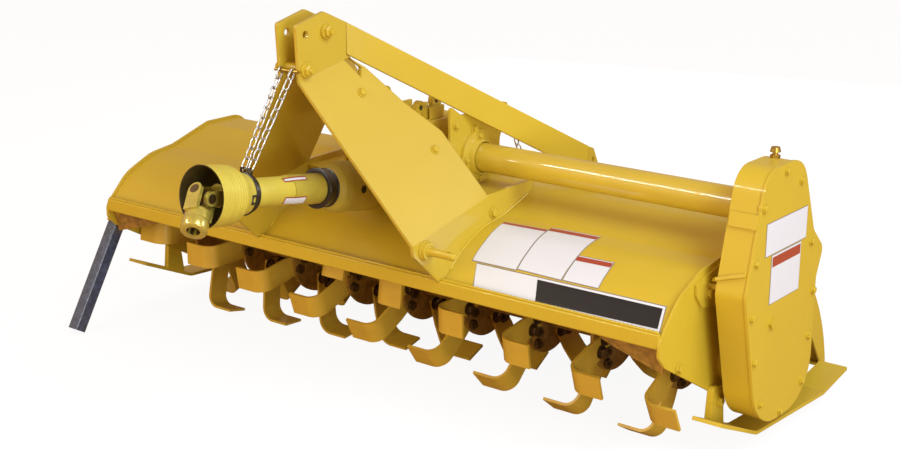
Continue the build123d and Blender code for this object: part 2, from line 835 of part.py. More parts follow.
def fork(plane, end, radius, bore):
    """A universal joint fork: two ears with pin bores, a base and a round hub along the plane's normal."""
    reach = ear_inner + ear_thickness
    with BuildPart() as piece:
        with BuildSketch(plane * Plane.YZ.offset(-reach)):
            Circle(ear_radius)
            with Locations((0, (fork_depth + fork_base) / 2)):
                Rectangle(2 * ear_radius, fork_depth + fork_base)
            Circle(cross_radius + running_clearance, mode=Mode.SUBTRACT)
        extrude(amount=2 * reach)
        with BuildSketch(plane * Plane.YZ.offset(-ear_inner)):
            with Locations((0, (fork_depth - 60) / 2)):
                Rectangle(4 * ear_radius, fork_depth + 60)
        extrude(amount=2 * ear_inner, mode=Mode.SUBTRACT)
        with BuildSketch(plane.offset(fork_depth)):
            Circle(radius)
        extrude(amount=end - fork_depth)
        if bore:
            with BuildSketch(plane.offset(fork_depth)):
                Circle(bore)
            extrude(amount=end - fork_depth, mode=Mode.SUBTRACT)
    return piece


joint = Vector(0, joint_y, joint_z)
save(fork(shaft_plane(0), 96, shaft_radius + 8, 0), "shaft_yoke")

hang = math.radians(180 - shaft_slope + yoke_hang)
swing = math.radians(yoke_swing)
hang_axis = Vector(0, math.cos(hang), math.sin(hang))
cross_axis = Vector(0, -math.sin(hang), math.cos(hang))
yoke_axis = hang_axis * math.cos(swing) + Vector(math.sin(swing), 0, 0)
yoke_plane = Plane(origin=joint, x_dir=cross_axis, z_dir=yoke_axis)
save(fork(yoke_plane, yoke_length, yoke_radius, spline_radius), "tractor_yoke")

with BuildPart() as joint_cross:
    arm = ear_inner + ear_thickness
    for normal, x_dir in (((1, 0, 0), (0, 1, 0)), (cross_axis, (1, 0, 0))):
        with BuildSketch(Plane(origin=joint, x_dir=x_dir, z_dir=normal)):
            Circle(cross_radius)
        extrude(amount=arm, both=True)
    with BuildSketch(Plane(origin=joint, x_dir=cross_axis, z_dir=hang_axis)):
        Rectangle(2 * (ear_inner - 5), 2 * (ear_inner - 5))
    extrude(amount=cross_radius + 4, both=True)
save(joint_cross, "joint_cross")

with BuildPart() as drive_shaft:
    with BuildSketch(shaft_plane(96)):
        Circle(shaft_radius)
    extrude(amount=clutch_start - 96)
    with BuildSketch(shaft_plane(clutch_start)):
        Circle(clutch_radius)
    extrude(amount=clutch_end - clutch_start - 24)
    with BuildSketch(shaft_plane(clutch_end - 24)):
        Circle(input_radius + 12)
    extrude(amount=20)
    with BuildSketch(shaft_plane(clutch_end - 4)):
        Circle(input_radius)
    extrude(amount=input_end - clutch_end + 12)
save(drive_shaft, "drive_shaft")


# ================================================================ chains
def chain(name, ends, crosswise_start):
    """Chains of flat oval links. Each row of ends has the end wires' centres, top and bottom.

    Links alternate: a crosswise one passes through an eye plate, a lengthwise one round a bar.
    """
    with BuildPart() as links:
        for top, bottom in ends:
            run = bottom - top
            count = 2 * round(run.length / link_pitch / 2)
            if crosswise_start:
                count += 1
            pitch = (run.length - link_wire) / count
            along = run.normalized()
            across = along.cross(Vector(1, 0, 0)).normalized()
            sideways = across.cross(along)
            for index in range(count):
                crosswise = (index % 2 == 0) == crosswise_start
                centre = top + along * (pitch * index + (pitch + link_wire) / 2)
                face = Plane(origin=centre, x_dir=along, z_dir=across if crosswise else sideways)
                with BuildSketch(face):
                    for grow, mode in ((link_wire, Mode.ADD), (0, Mode.SUBTRACT)):
                        h = pitch / 2 + grow
                        w = link_width / 2 - link_wire + grow
                        c = w * 0.4
                        with BuildLine():
                            Polyline(
                                (h, w - c), (h - c, w), (c - h, w), (-h, w - c),
                                (-h, c - w), (c - h, -w), (h - c, -w), (h, c - w),
                                close=True,
                            )
                        make_face(mode=mode)
                extrude(amount=link_wire / 2, both=True)
    save(links, name)


bar = Vector(0, chain_bar_y, mast_bar_z)
guard_ends = []
for x in (-eye_x, eye_x):
    eye = middle.origin + Vector(x, 0, 0) - middle.y_dir * (collar_radius + eye_rise - 8)
    top = bar + Vector(x * 1.8, 0, 0)
    along = (eye - top).normalized()
    guard_ends.append(
        (top - along * (mast_bar_radius + link_wire / 2 + 0.1), eye - along * eye_slip)
    )
chain("guard_chains", guard_ends, False)

bracket_hole = Vector(chain_x, 732, 232)
gate_end = Vector(chain_x, *gate_hole)
with BuildPart() as chain_bracket:
    with BuildSketch(Plane.YZ.offset(chain_x - 3)):
        with BuildLine():
            FilletPolyline(
                (640, 50), (702, 222), (722, 246), (746, 240), (744, 218), (708, 168), (706, 30),
                radius=[0, 20, 10, 8, 6, 20, 0],
                close=True,
            )
        make_face()
        with Locations((bracket_hole.Y, bracket_hole.Z)):
            Circle(eye_hole, mode=Mode.SUBTRACT)
    extrude(amount=6)
    extrude(to_extrude=hood_top_region(), amount=200, mode=Mode.SUBTRACT)
save(chain_bracket, "chain_bracket")

along = (gate_end - bracket_hole).normalized()
chain("gate_chain", [(bracket_hole + along * eye_slip, gate_end - along * eye_slip)], True)
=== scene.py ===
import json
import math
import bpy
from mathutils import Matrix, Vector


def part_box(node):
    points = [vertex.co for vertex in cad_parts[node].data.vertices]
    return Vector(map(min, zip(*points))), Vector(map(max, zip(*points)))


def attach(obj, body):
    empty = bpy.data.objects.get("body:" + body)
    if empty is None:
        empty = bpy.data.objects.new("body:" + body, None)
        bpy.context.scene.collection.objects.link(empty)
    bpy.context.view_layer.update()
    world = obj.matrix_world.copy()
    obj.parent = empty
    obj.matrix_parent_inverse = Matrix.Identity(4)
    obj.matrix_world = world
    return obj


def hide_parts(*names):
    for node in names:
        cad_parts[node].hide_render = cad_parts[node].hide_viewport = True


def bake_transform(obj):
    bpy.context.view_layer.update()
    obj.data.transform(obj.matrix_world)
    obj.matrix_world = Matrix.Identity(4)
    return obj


bl_info = {
    "name": "Rotary tiller dresser",
    "version": (1, 0, 0),
    "blender": (4, 5, 0),
    "location": "3D View > Sidebar > Tiller",
    "description": "Dresses the packed rotary tiller with paint, plating, bolts, welds, plates and chains",
    "category": "Object",
}

from typing import NamedTuple

import bmesh
import bpy
from bpy.props import FloatProperty, PointerProperty, StringProperty
from mathutils import Matrix, Vector
from mathutils.bvhtree import BVHTree

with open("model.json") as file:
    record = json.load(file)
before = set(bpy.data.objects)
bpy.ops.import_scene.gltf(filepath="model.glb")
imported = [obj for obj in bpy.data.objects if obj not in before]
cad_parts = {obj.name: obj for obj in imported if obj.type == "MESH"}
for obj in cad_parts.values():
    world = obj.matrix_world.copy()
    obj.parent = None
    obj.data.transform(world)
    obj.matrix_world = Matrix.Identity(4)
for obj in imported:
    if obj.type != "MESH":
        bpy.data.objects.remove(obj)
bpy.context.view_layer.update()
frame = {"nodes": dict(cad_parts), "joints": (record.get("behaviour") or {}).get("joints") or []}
MM = 0.001

# Shapes are drawn in millimetres, in the frame's own axes: +X is the machine's left, +Y its rear, +Z up.
# make_object() brings a finished mesh to metres.
X_AXIS = Vector((1, 0, 0))
Y_AXIS = Vector((0, 1, 0))
Z_AXIS = Vector((0, 0, 1))

# ---- places taken from the frame
FLOOR_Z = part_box("tines")[0].z
JOINTS = {joint["name"]: joint for joint in frame["joints"]}
ROTOR_AXIS = Vector(JOINTS["rotor_spin"]["pos_m"]) / MM
SHAFT_ORIGIN = Vector(JOINTS["driveline_spin"]["pos_m"]) / MM
SHAFT_ALONG = Vector(JOINTS["driveline_spin"]["axis"]).normalized()
SHAFT_RISE = X_AXIS.cross(SHAFT_ALONG)
STAND_DOWN = -Vector(JOINTS["stand_slide"]["axis"]).normalized()
HOOD_SKIN = BVHTree.FromObject(frame["nodes"]["hood"], bpy.context.evaluated_depsgraph_get())

# ---- chain case
COVER_FACE = 1152
EAR_DEPTH = 10
EAR_RADIUS = 15.5
EAR_THICKNESS = 9.5
INNER_BOLT_X = 1074
# Bolts of the cover, each on its ear: (y, z).
COVER_BOLTS = [
    (413, 259), (303, 186), (502, 217), (585, 38), (268, -85), (614, -102), (603, -226), (296, -209),
    (581, -347), (343, -335), (461, -394), (276, 53),
]
BREATHER_FOOT = Vector((1095, 462, 274))
# The pad lies on the front wall, which leans back.
PAD_CENTRE = (1110, 278.5, 155)
PAD_SIZE = (78, 4, 38)
FRONT_WALL_LEAN = math.radians(14.6)
# The strap runs from the bracket on the side plate over the front wall.
STRAP_PATH = [(1029, 290, -18), (1066, 241, 6), (1100, 243, 17), (1139, 246, 28)]
STRAP_RADIUS = 6.5

# ---- bolts of the frame
WEB_FACE = (0.81, -0.12, 0.58)
# Widths across the corners of the smaller heads.
SMALL_BOLT = 16
MEDIUM_BOLT = 18
# Bolts that both sides have: x, y, z on the left, the way the head points, width across the corners.
PAIRED_BOLTS = [
    (198, 316, 261, X_AXIS, 22),
    (198, 399, 235, X_AXIS, 22),
    (97, 38, 383, WEB_FACE, 20),
    (233, 178, 221, WEB_FACE, 20),
    (342, 297, 39, X_AXIS, 26),
    (1020, 152, -211, X_AXIS, 24),
    (1039, 341, -356, X_AXIS, 24),
    (1039, 628, -300, X_AXIS, 24),
]
# Bolts of the chain case's bracket, on the left alone.
BRACKET_BOLTS = [
    (1028, 274, -45, X_AXIS, 28),
    (1028, 327, -75, X_AXIS, 28),
]
CHEEK_FACE = 38
HEADSTOCK_BOLTS = [(-35, 552), (-114, 460)]
HEADSTOCK_WASHER = 4
HEADSTOCK_BOLT = 32
HUB_FACE = 1064
HUB_BOLT_CIRCLE = 46

# ---- corner shields
# Edges in x, the top edge in (y, z), the bow to the rear, the drop at the inner edge and its growth.
SHIELD_INNER = 805
SHIELD_OUTER = 1011
SHIELD_TOP = (72, -139)
SHIELD_BOW = 24
SHIELD_DROP = (8, 66)
SHIELD_SHEETS = (0, 4)

# ---- cross tube and gearbox
TUBE_AXIS = Vector((0, 412, 155))
# The collar where the cross tube leaves the gearbox support: (x, radius).
COLLAR_PROFILE = [
    (198, 40), (198, 65), (199, 66), (203, 66), (204, 65), (204, 52), (211, 50), (214, 46), (215, 41),
]
CLAMP_SIZE = (5, 106, 106)
CLAMP_X = 206.5
CLAMP_BOLT_X = 209
CLAMP_BOLT_REACH = 62
# Plugs of the casting: place, the way they point, radius and height.
GEAR_PLUGS = [
    ((30, 345, 268), Z_AXIS, 16, 12),
    ((118, 322, 140), X_AXIS, 14, 10),
    ((0, 478, 120), Y_AXIS, 14, 10),
]
REAR_COVER_FACE = 478
REAR_COVER_ROWS = (105, 178)
REAR_COVER_COLUMNS = (-90, -30, 30, 90)
RIB_SIZE = (5, 60, 34)
GEAR_RIBS = [(88, 300, 284), (100, 318, 284), (112, 336, 284)]
# Bored lugs on top of the casting: (y, z).
GEAR_LUGS = [(282, 303), (352, 314)]
LUG_INNER = 84
LUG_OUTER = 100
LUG_RADIUS = 19
LUG_BORE_RADIUS = 7.5
# Circles of bolts round the driveline: place along it, radius, count, turn of the first.
INPUT_BOLTS = (676, 58, 6, math.pi / 6)
CLUTCH_BOLTS = (648, 48, 8, 0)

# ---- welds
LIP_WELD = [(-1010, 66, -96.5), (1010, 66, -96.5)]
LIP_RIPPLE = 12
RIPPLE = 9
# Welds that run over the hood from front to rear on both sides: x, first y, end of y, step.
HOOD_WELDS = [
    (343, 104, 488, 24),
    (331, 104, 488, 24),
    (402, 690, 732, 20),
    (189, 400, 480, 20),
    (199, 400, 480, 20),
]
# Rings round the foot of each hitch pin: distance from the middle, radius.
PIN_WELDS = [(344, 25), (357, 12)]
PIN_WELD_WIDTH = 7

# ---- blank plates
# Each plate has its film and four corners in order round it. On the hood they are (x, y).
HOOD_PLATES = [
    ("white", [(394, 138), (535, 139), (517, 311), (378, 304)]),
    ("red", [(379, 290), (518, 297), (517, 309), (378, 302)]),
    ("white", [(539, 142), (676, 140), (668, 334), (519, 327)]),
    ("red", [(521, 306), (669, 312), (668, 330), (519, 324)]),
    ("white", [(682, 141), (788, 141), (781, 224), (676, 222)]),
    ("red", [(677, 204), (782, 206), (781, 221), (676, 219)]),
    ("white", [(444, 74), (1003, 80), (988, 134), (412, 132)]),
    ("ink", [(637, 83), (995, 87), (983, 129), (612, 128)]),
]
# On the cover they are (y, z).
COVER_PLATES = [
    ("white", [(323, 141), (548, 141), (548, 58), (323, 58)]),
    ("white", [(359, 53), (522, 53), (522, -74), (359, -74)]),
    ("red", [(363, 48), (518, 48), (518, 22), (363, 22)]),
]
# On the guard tube they are (distance along the shaft, degrees up from +X).
GUARD_PLATES = [
    ("red", [(262, 46), (348, 46), (348, 68), (262, 68)]),
    ("white", [(266, 50), (344, 50), (344, 60), (266, 60)]),
    ("red", [(258, -48), (338, -48), (338, -14), (258, -14)]),
    ("white", [(261, -45), (335, -45), (335, -18), (261, -18)]),
]
# How far each film stands off. On the guard the red film lies under the white one and shows as its rim.
FLAT_LIFTS = {"rule": 0.4, "white": 0.8, "red": 1.4, "ink": 1.4}
GUARD_LIFTS = {"red": 0.6, "white": 1.2}

# ---- chains: top, bottom, links, width of a link
GUARD_CHAIN_TOP = Vector((21.8, -140.1, 463.9))
GUARD_CHAIN_BOTTOM = Vector((12, -301.6, 223.9))
GUARD_CHAIN_LINKS = 10
GUARD_CHAIN_WIDTH = 21
GATE_CHAIN_TOP = Vector((60, 732, 232))
GATE_CHAIN_BOTTOM = Vector((60, 966, -196))
GATE_CHAIN_LINKS = 19
GATE_CHAIN_WIDTH = 20

# ---- driveline
# Outlines of the bells: (distance along the shaft, radius). Ribs: start, end, pitch, height.
FRONT_BELL = [
    (-3, 81), (2, 81.5), (6, 79.5), (57, 77.5), (84, 74), (104, 64), (120, 57), (132, 54.5), (137, 53.5),
]
FRONT_RIBS = [(8, 40, 8, 1.0), (56, 100, 9, 1.4)]
REAR_BELL = [(452, 50), (455, 58), (466, 66), (490, 70), (640, 71.5), (644, 73), (648, 73)]
REAR_RIBS = [(470, 500, 8, 1.0), (560, 620, 10, 0.9)]
BELL_WALL = 3
BELL_SIDES = 64
# Collar rings: start, end, radius. They grip the tube.
GUARD_RINGS = [(137, 141, 57), (415, 420, 56), (448, 453, 54)]
GRIP_RADIUS = 44
# The latch is a frame of four bars round its slot: distance from its middle along and across, size.
LATCH_BARS = [
    (-9, 0, (5, 24, 6)),
    (9, 0, (5, 24, 6)),
    (0, -10, (22, 5, 6)),
    (0, 10, (22, 5, 6)),
]
LATCH_STATION = 128
LATCH_RADIUS = 56.5
LATCH_TURN = -0.10
PORT_PLACE = Vector((68, 70, 106))
PORT_STATION = 533
REAR_TUBE_START = 296
FRONT_TUBE_RADIUS = 39
REAR_TUBE_RADIUS = 42

# The tractor's yoke hangs at the angles of the rest pose.
CAP_REACH = 35.5
CAP_RADIUS = 12.5
CAP_HEIGHT = 1.2
YOKE_ACROSS = Vector((0, 0.658689, -0.752415))
YOKE_HANG = math.radians(180 - 8.8 + 50)
YOKE_SWING = math.radians(24)
YOKE_DOWN = Vector((0, math.cos(YOKE_HANG), math.sin(YOKE_HANG)))
YOKE_ALONG = X_AXIS * math.sin(YOKE_SWING) + YOKE_DOWN * math.cos(YOKE_SWING)
YOKE_COLLAR = [(74, 31), (80, 33.5), (84, 34), (104, 34), (107.5, 32.5), (108.6, 31), (108.6, 19)]
SPLINE_CENTRE = (16.5, 0, 80)
SPLINE_SIZE = (4, 8, 52)

# ---- rotor
FLANGES = 9
FLANGE_PITCH = 222
HELIX_STEP = 8.5
# The hand of the blades on each face of a flange, and the turn of their first blade.
BLADE_HANDS = [(1, -12.0), (-1, 22.0)]
# Two bolts hold a blade: radius, shift across it.
BLADE_BOLT_SPOTS = [(80, -13), (106, 13)]
# From the flange's middle to the foot of the head and of the nut.
HEAD_FOOT = 13
NUT_FOOT = 5
NUT_HEIGHT = 12
SHANK_RADIUS = 6.5
SHANK_LENGTH = 19

# ---- pins
HITCH_PIN_END = 437
STAND_BOLT = Vector((-1050, 172, -110))


# ---- what a user would change
class TillerPaint(bpy.types.PropertyGroup):
    enamel: StringProperty(name="Enamel", description="Yellow machine enamel, sRGB hex", default="C9AF32")
    # The blades' browner yellow is painted shade under the hood.
    blade: StringProperty(name="Blade", description="Enamel on the blades, sRGB hex", default="CFAB3A")
    # Dark brown on the flanges and the corner shields: painted shade under the hood and the lip.
    flange: StringProperty(name="Flange", description="Greased enamel, sRGB hex", default="94702C")
    guard: StringProperty(name="Guard", description="Moulded driveline guard, sRGB hex", default="CFC048")
    # A darker olive for the rear tube and rear bell; on the bell it is painted shade.
    faded: StringProperty(name="Faded guard", description="Handled guard, sRGB hex", default="B5A43A")
    # The guard's inside colour is painted shade: the dark of the bells' hollows and of the lugs' bores.
    inside: StringProperty(name="Guard inside", description="Greased guard, sRGB hex", default="453C1A")
    black: StringProperty(name="Black plastic", description="Nylon collars, sRGB hex", default="0F0F11")
    plating: StringProperty(name="Plating", description="Yellow zinc plating, sRGB hex", default="B89B4A")
    forging: StringProperty(name="Forging", description="Chromate on the yokes, sRGB hex", default="BFB04C")
    zinc: StringProperty(name="Zinc", description="Bright zinc plating, sRGB hex", default="C9CBC8")
    dark_steel: StringProperty(name="Dark steel", description="Oiled bare steel, sRGB hex", default="5A4426")
    leg: StringProperty(name="Stand leg", description="Dark painted tube, sRGB hex", default="46546E")
    plate_white: StringProperty(name="Plate white", description="Plate's face, sRGB hex", default="DCE4EE")
    plate_red: StringProperty(name="Plate red", description="Plate's bar, sRGB hex", default="A3402A")
    plate_ink: StringProperty(name="Plate black", description="Strip's dark part, sRGB hex", default="101216")
    plate_rule: StringProperty(name="Plate rule", description="Plate's thin rim, sRGB hex", default="8C8479")
    floor: StringProperty(name="Floor", description="Plain pale floor, sRGB hex", default="F2F2F2")


class TillerSizes(bpy.types.PropertyGroup):
    bolt_head: FloatProperty(
        name="Bolt head", description="Across a cover bolt's corners", default=0.0185, unit="LENGTH"
    )
    blade_bolt: FloatProperty(
        name="Blade bolt", description="Across a blade bolt's corners", default=0.030, unit="LENGTH"
    )
    weld: FloatProperty(name="Weld", description="Width of a weld bead", default=0.009, unit="LENGTH")
    chain_wire: FloatProperty(name="Chain wire", description="A link's wire", default=0.0045, unit="LENGTH")


# ---- helpers for materials
def linear(hex_colour):
    """An sRGB hex colour as linear RGBA."""
    parts = [int(hex_colour[i : i + 2], 16) / 255 for i in (0, 2, 4)]
    return [c / 12.92 if c <= 0.04045 else ((c + 0.055) / 1.055) ** 2.4 for c in parts] + [1.0]


def shade(colour, factor):
    """The same linear colour, lighter or darker."""
    return [c * factor for c in colour[:3]] + [1.0]


def node(tree, kind, inputs=None, links=None, **settings):
    """Adds a node with its settings, its socket values and the links that come into it."""
    made = tree.nodes.new(kind)
    for name, value in settings.items():
        setattr(made, name, value)
    for socket, value in (inputs or {}).items():
        made.inputs[socket].default_value = value
    for socket, (source, output) in (links or {}).items():
        tree.links.new(source.outputs[output], made.inputs[socket])
    return made


def blank_tree(owner):
    """The empty node tree of a material or world."""
    owner.use_nodes = True
    owner.node_tree.nodes.clear()
    return owner.node_tree


def grain(size_mm):
    """The scale of a noise whose grain is so many millimetres wide."""
    return 1 / (size_mm * MM)


def coated(
    name,
    hex_colour,
    roughness,
    grain_mm,
    spread,
    metallic=0.0,
    gloss=0.5,
    coat=0.0,
    coat_roughness=0.12,
    bump_mm=0.0,
    edge_mm=0.0,
    detail=3.0,
    tone=1.0,
    band=(0.35, 0.65),
):
    """A finish that clouds a little about its colour and, if asked, has a fine relief and eased edges."""
    material = bpy.data.materials.new(name)
    tree = blank_tree(material)
    place = node(tree, "ShaderNodeTexCoord")
    cloud = node(
        tree,
        "ShaderNodeTexNoise",
        inputs={"Scale": grain(grain_mm), "Detail": detail, "Roughness": 0.55},
        links={"Vector": (place, "Object")},
    )
    tint = node(tree, "ShaderNodeValToRGB", links={"Fac": (cloud, "Fac")})
    for stop, position, factor in zip(tint.color_ramp.elements, band, (1 - spread, 1 + spread)):
        stop.position = position
        stop.color = shade(linear(hex_colour), tone * factor)
    links = {"Base Color": (tint, "Color")}
    relief_links = {}
    if edge_mm:
        eased = node(tree, "ShaderNodeBevel", samples=4, inputs={"Radius": edge_mm * MM})
        links["Normal"] = relief_links["Normal"] = (eased, "Normal")
    if bump_mm:
        # The relief's grain is an eighth of the cloud's, drawn coarser than the real skin so that it shows.
        fine = node(
            tree,
            "ShaderNodeTexNoise",
            inputs={"Scale": grain(grain_mm * 0.12), "Detail": 3.0, "Roughness": 0.55},
            links={"Vector": (place, "Object")},
        )
        relief_links["Height"] = (fine, "Fac")
        depth = {"Strength": 0.35, "Distance": bump_mm * MM}
        relief = node(tree, "ShaderNodeBump", inputs=depth, links=relief_links)
        links["Normal"] = (relief, "Normal")
    shader = node(
        tree,
        "ShaderNodeBsdfPrincipled",
        inputs={
            "Roughness": roughness,
            "Metallic": metallic,
            "Specular IOR Level": gloss,
            "Coat Weight": coat,
            "Coat Roughness": coat_roughness,
        },
        links=links,
    )
    node(tree, "ShaderNodeOutputMaterial", links={"Surface": (shader, 0)})
    return material


def film(name, hex_colour):
    """Printed vinyl film: flat colour under a thin clear layer."""
    material = bpy.data.materials.new(name)
    tree = blank_tree(material)
    shader = node(
        tree,
        "ShaderNodeBsdfPrincipled",
        inputs={"Base Color": linear(hex_colour), "Roughness": 0.35, "Coat Weight": 0.3},
    )
    node(tree, "ShaderNodeOutputMaterial", links={"Surface": (shader, 0)})
    return material


# ---- materials
MATERIALS = {}


def make_materials(paint):
    MATERIALS.update(
        # Sprayed alkyd enamel over welded plate: an even yellow with soft highlights and faint waviness.
        enamel=coated(
            "sprayed_yellow_enamel", paint.enamel, 0.46, 160, 0.015, gloss=0.2, coat=0.4, edge_mm=2
        ),
        # The same enamel over bent plate: wide soft bends that catch more light than the flats.
        bent=coated(
            "enamel_on_bent_plate", paint.enamel, 0.44, 160, 0.015, coat=0.8, coat_roughness=0.06, edge_mm=6
        ),
        # The same enamel over smooth drawn tube: glassier, so it carries pale streaks along its length.
        tube=coated("enamel_on_drawn_tube", paint.enamel, 0.40, 120, 0.03, coat=1.0, coat_roughness=0.04),
        # The same enamel over a sand casting: the skin shows as a fine pebbled relief.
        cast=coated("enamel_on_sand_casting", paint.enamel, 0.45, 40, 0.03, bump_mm=0.5, edge_mm=3),
        # Enamel on the dipped blades: it clouds a little at random, and is darker and more orange than the
        # machine's enamel as painted shade under the hood.
        blade=coated(
            "dipped_enamel_on_blades", paint.blade, 0.40, 60, 1 / 19,
            coat=0.15, coat_roughness=0.03, detail=4.0, tone=0.95, band=(0.30, 0.58),
        ),
        # Enamel on the rotor's flanges, painted a dull dark brown: painted shade under the hood.
        flange=coated("enamel_darkened_as_painted_shade", paint.flange, 0.36, 22, 0.30, bump_mm=0.3),
        # The inside of the guard: the same plastic painted much darker, as painted shade in the bells'
        # hollows and on the discs in the lugs' bores.
        inside=coated("guard_inside_painted_shade", paint.inside, 0.5, 30, 0.15),
        # Moulded polyethylene: matt, slightly waxy olive yellow.
        guard=coated("moulded_polyethylene_guard", paint.guard, 0.5, 60, 0.06),
        # The guard's rear tube and rear bell: the same polyethylene in a darker, browner olive; on the rear
        # bell the darkening is painted shade.
        faded=coated("faded_polyethylene_guard", paint.faded, 0.55, 60, 0.08),
        # Moulded nylon collar: near black with a wet-looking sheen.
        black=coated("moulded_black_nylon", paint.black, 0.35, 40, 0.1, coat=0.8, coat_roughness=0.1),
        # Bright zinc electroplate on wire: pale grey metal with small glints.
        zinc=coated("bright_zinc_plate", paint.zinc, 0.28, 8, 0.12, metallic=1.0),
        # Yellow chromate over zinc: warm straw metal with a cloudy tint.
        plated=coated("yellow_chromate_plate", paint.plating, 0.36, 12, 0.15, metallic=1.0),
        # Chromate over a forging: greenish straw under oil, with small wet glints and a little roughness.
        forged=coated(
            "chromate_on_forging", paint.forging, 0.24, 14, 0.12,
            metallic=0.35, coat=1.0, coat_roughness=0.08, bump_mm=0.12,
        ),
        # Oiled bare steel: brown-black, with a soft gloss on the edges.
        oiled=coated("oiled_bare_steel", paint.dark_steel, 0.34, 18, 0.2, metallic=0.6, bump_mm=0.2),
        # Dark grey-blue dipped paint on drawn square tube: mottled flats and pale rounded corners.
        leg=coated("grey_dipped_tube", paint.leg, 0.35, 14, 0.30, coat=1.0, coat_roughness=0.08, edge_mm=6),
        # Printed vinyl films: flat, even colours with a thin clear shine.
        white=film("white_vinyl_film", paint.plate_white),
        red=film("red_vinyl_film", paint.plate_red),
        ink=film("black_vinyl_film", paint.plate_ink),
        rule=film("grey_vinyl_rim", paint.plate_rule),
    )


# The finish of each solid; what isn't named here is enamel.
NODE_FINISH = {
    "hitch_plate_left": "bent",
    "hitch_plate_right": "bent",
    "torque_tube": "tube",
    "gearbox": "cast",
    "rotor_hubs": "cast",
    "tines": "blade",
    # The flanges' dark brown is painted shade.
    "rotor_shaft": "flange",
    "front_bell": "guard",
    "rear_bell": "guard",
    "front_guard_tube": "guard",
    "rear_guard_tube": "faded",
    "guard_collars": "black",
    "guard_chains": "zinc",
    "gate_chain": "zinc",
    "mast_bar": "plated",
    "hinge_rod": "plated",
    "joint_cross": "oiled",
    "drive_shaft": "oiled",
    "shaft_yoke": "forged",
    "tractor_yoke": "forged",
    "stand_leg": "leg",
}


# ---- helpers for meshes
def make_object(name, build, material, rounded=False):
    """An object whose mesh build(bm) draws in millimetres, shaded smooth if rounded."""
    bm = bmesh.new()
    build(bm)
    mesh = bpy.data.meshes.new(name)
    bm.to_mesh(mesh)
    bm.free()
    mesh.transform(Matrix.Diagonal((MM, MM, MM, 1)))
    mesh.polygons.foreach_set("use_smooth", [rounded] * len(mesh.polygons))
    mesh.materials.append(MATERIALS[material])
    made = bpy.data.objects.new(name, mesh)
    bpy.context.scene.collection.objects.link(made)
    return made


def piece(name, build, material="enamel", body="frame", rounded=False):
    """A piece that rides on one body; most are enamelled and ride on the frame."""
    made = make_object(name, build, material, rounded)
    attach(made, body)
    return made


def aim(axis, origin, turn=0.0):
    """A matrix that takes +Z to axis and the origin to a place."""
    spin = Matrix.Rotation(turn, 4, "Z")
    return Matrix.Translation(origin) @ Vector(axis).to_track_quat("Z", "Y").to_matrix().to_4x4() @ spin


def add_prism(bm, matrix, radius, height, sides, top=None):
    """A prism or disc that stands on the matrix's origin, tapered if it has another top radius."""
    bmesh.ops.create_cone(
        bm,
        cap_ends=True,
        segments=sides,
        radius1=radius,
        radius2=radius if top is None else top,
        depth=height,
        matrix=matrix @ Matrix.Translation((0, 0, height / 2)),
    )


def add_bolt(bm, place, axis, width, turn=0.3, washer=True):
    """A hexagon head with its foot at place, on a washer unless told otherwise."""
    matrix = aim(axis, place, turn)
    foot = 0.0
    if washer:
        foot = width * 0.12
        add_prism(bm, matrix, width * 0.66, foot, 20)
    crown = foot + width * 0.30
    add_prism(bm, matrix @ Matrix.Translation((0, 0, foot)), width / 2, width * 0.30, 6)
    add_prism(bm, matrix @ Matrix.Translation((0, 0, crown)), width / 2, width * 0.06, 6, width * 0.40)


def add_box(bm, centre, size, matrix=Matrix.Identity(4)):
    place = matrix @ Matrix.Translation(centre) @ Matrix.Diagonal((*size, 1))
    bmesh.ops.create_cube(bm, size=1.0, matrix=place)


def add_tube(bm, points, radii, sides, closed=False):
    """A round skin along points, its radius given at each of them."""
    rings = []
    across = None
    count = len(points)
    for index, point in enumerate(points):
        before = points[index - 1] if index or closed else point
        after = points[(index + 1) % count] if index < count - 1 or closed else point
        along = (after - before).normalized()
        # Each ring's first direction follows the ring before it, so the skin doesn't twist.
        across = (across - along * across.dot(along) if across else along.orthogonal()).normalized()
        up = along.cross(across)
        rings.append([bm.verts.new(p) for p in ring_of(point, radii[index], across, up, sides)])
    for low, high in zip(rings, rings[1:]):
        join_rings(bm, low, high)
    if closed:
        # The last ring meets the first where their vertices lie nearest.
        first, last = rings[0], rings[-1]
        shift = min(range(sides), key=lambda k: (first[k].co - last[0].co).length)
        join_rings(bm, last, first[shift:] + first[:shift])
    else:
        bm.faces.new(list(reversed(rings[0])))
        bm.faces.new(rings[-1])


def join_rings(bm, low, high):
    """A band of faces between two rings of vertices."""
    count = len(low)
    for k in range(count):
        n = (k + 1) % count
        bm.faces.new((low[k], low[n], high[n], high[k]))


def add_link(bm, centre, along, face, pitch, wire, width, sides=8, steps=10):
    """One oval link: two straight wires and two round bows."""
    side = along.cross(face).normalized()
    reach = max(pitch / 2 - width / 2 + wire, 0.0)
    bow = (width - wire) / 2
    path = []
    for end in (1, -1):
        for k in range(steps + 1):
            angle = math.pi * (k / steps - 0.5)
            swing = along * (reach + bow * math.cos(angle)) + side * bow * math.sin(angle)
            path.append(centre + end * swing)
    add_tube(bm, path, [wire / 2] * len(path), sides, closed=True)


def add_chain(bm, top, bottom, count, wire, width, crosswise):
    """Round links from top to bottom, each turned a quarter from the one before."""
    along = (bottom - top).normalized()
    pitch = ((bottom - top).length - wire) / count
    across = along.cross(X_AXIS).normalized()
    for index in range(count):
        centre = top + along * (pitch * (index + 0.5) + wire / 2)
        face = across if (index % 2 == 0) == crosswise else across.cross(along)
        add_link(bm, centre, along, face, pitch, wire, width)


def add_bead(bm, points, width, ripple=RIPPLE):
    """A weld bead: small scales along a line, one to each ripple."""
    path = []
    for start, end in zip(points, points[1:]):
        steps = max(2, int((end - start).length / (ripple / 2)))
        path += [start.lerp(end, k / steps) for k in range(steps)]
    path.append(points[-1])
    radii = [width / 2 * (1.0 if k % 2 else 0.70) for k in range(len(path))]
    add_tube(bm, path, radii, 6)


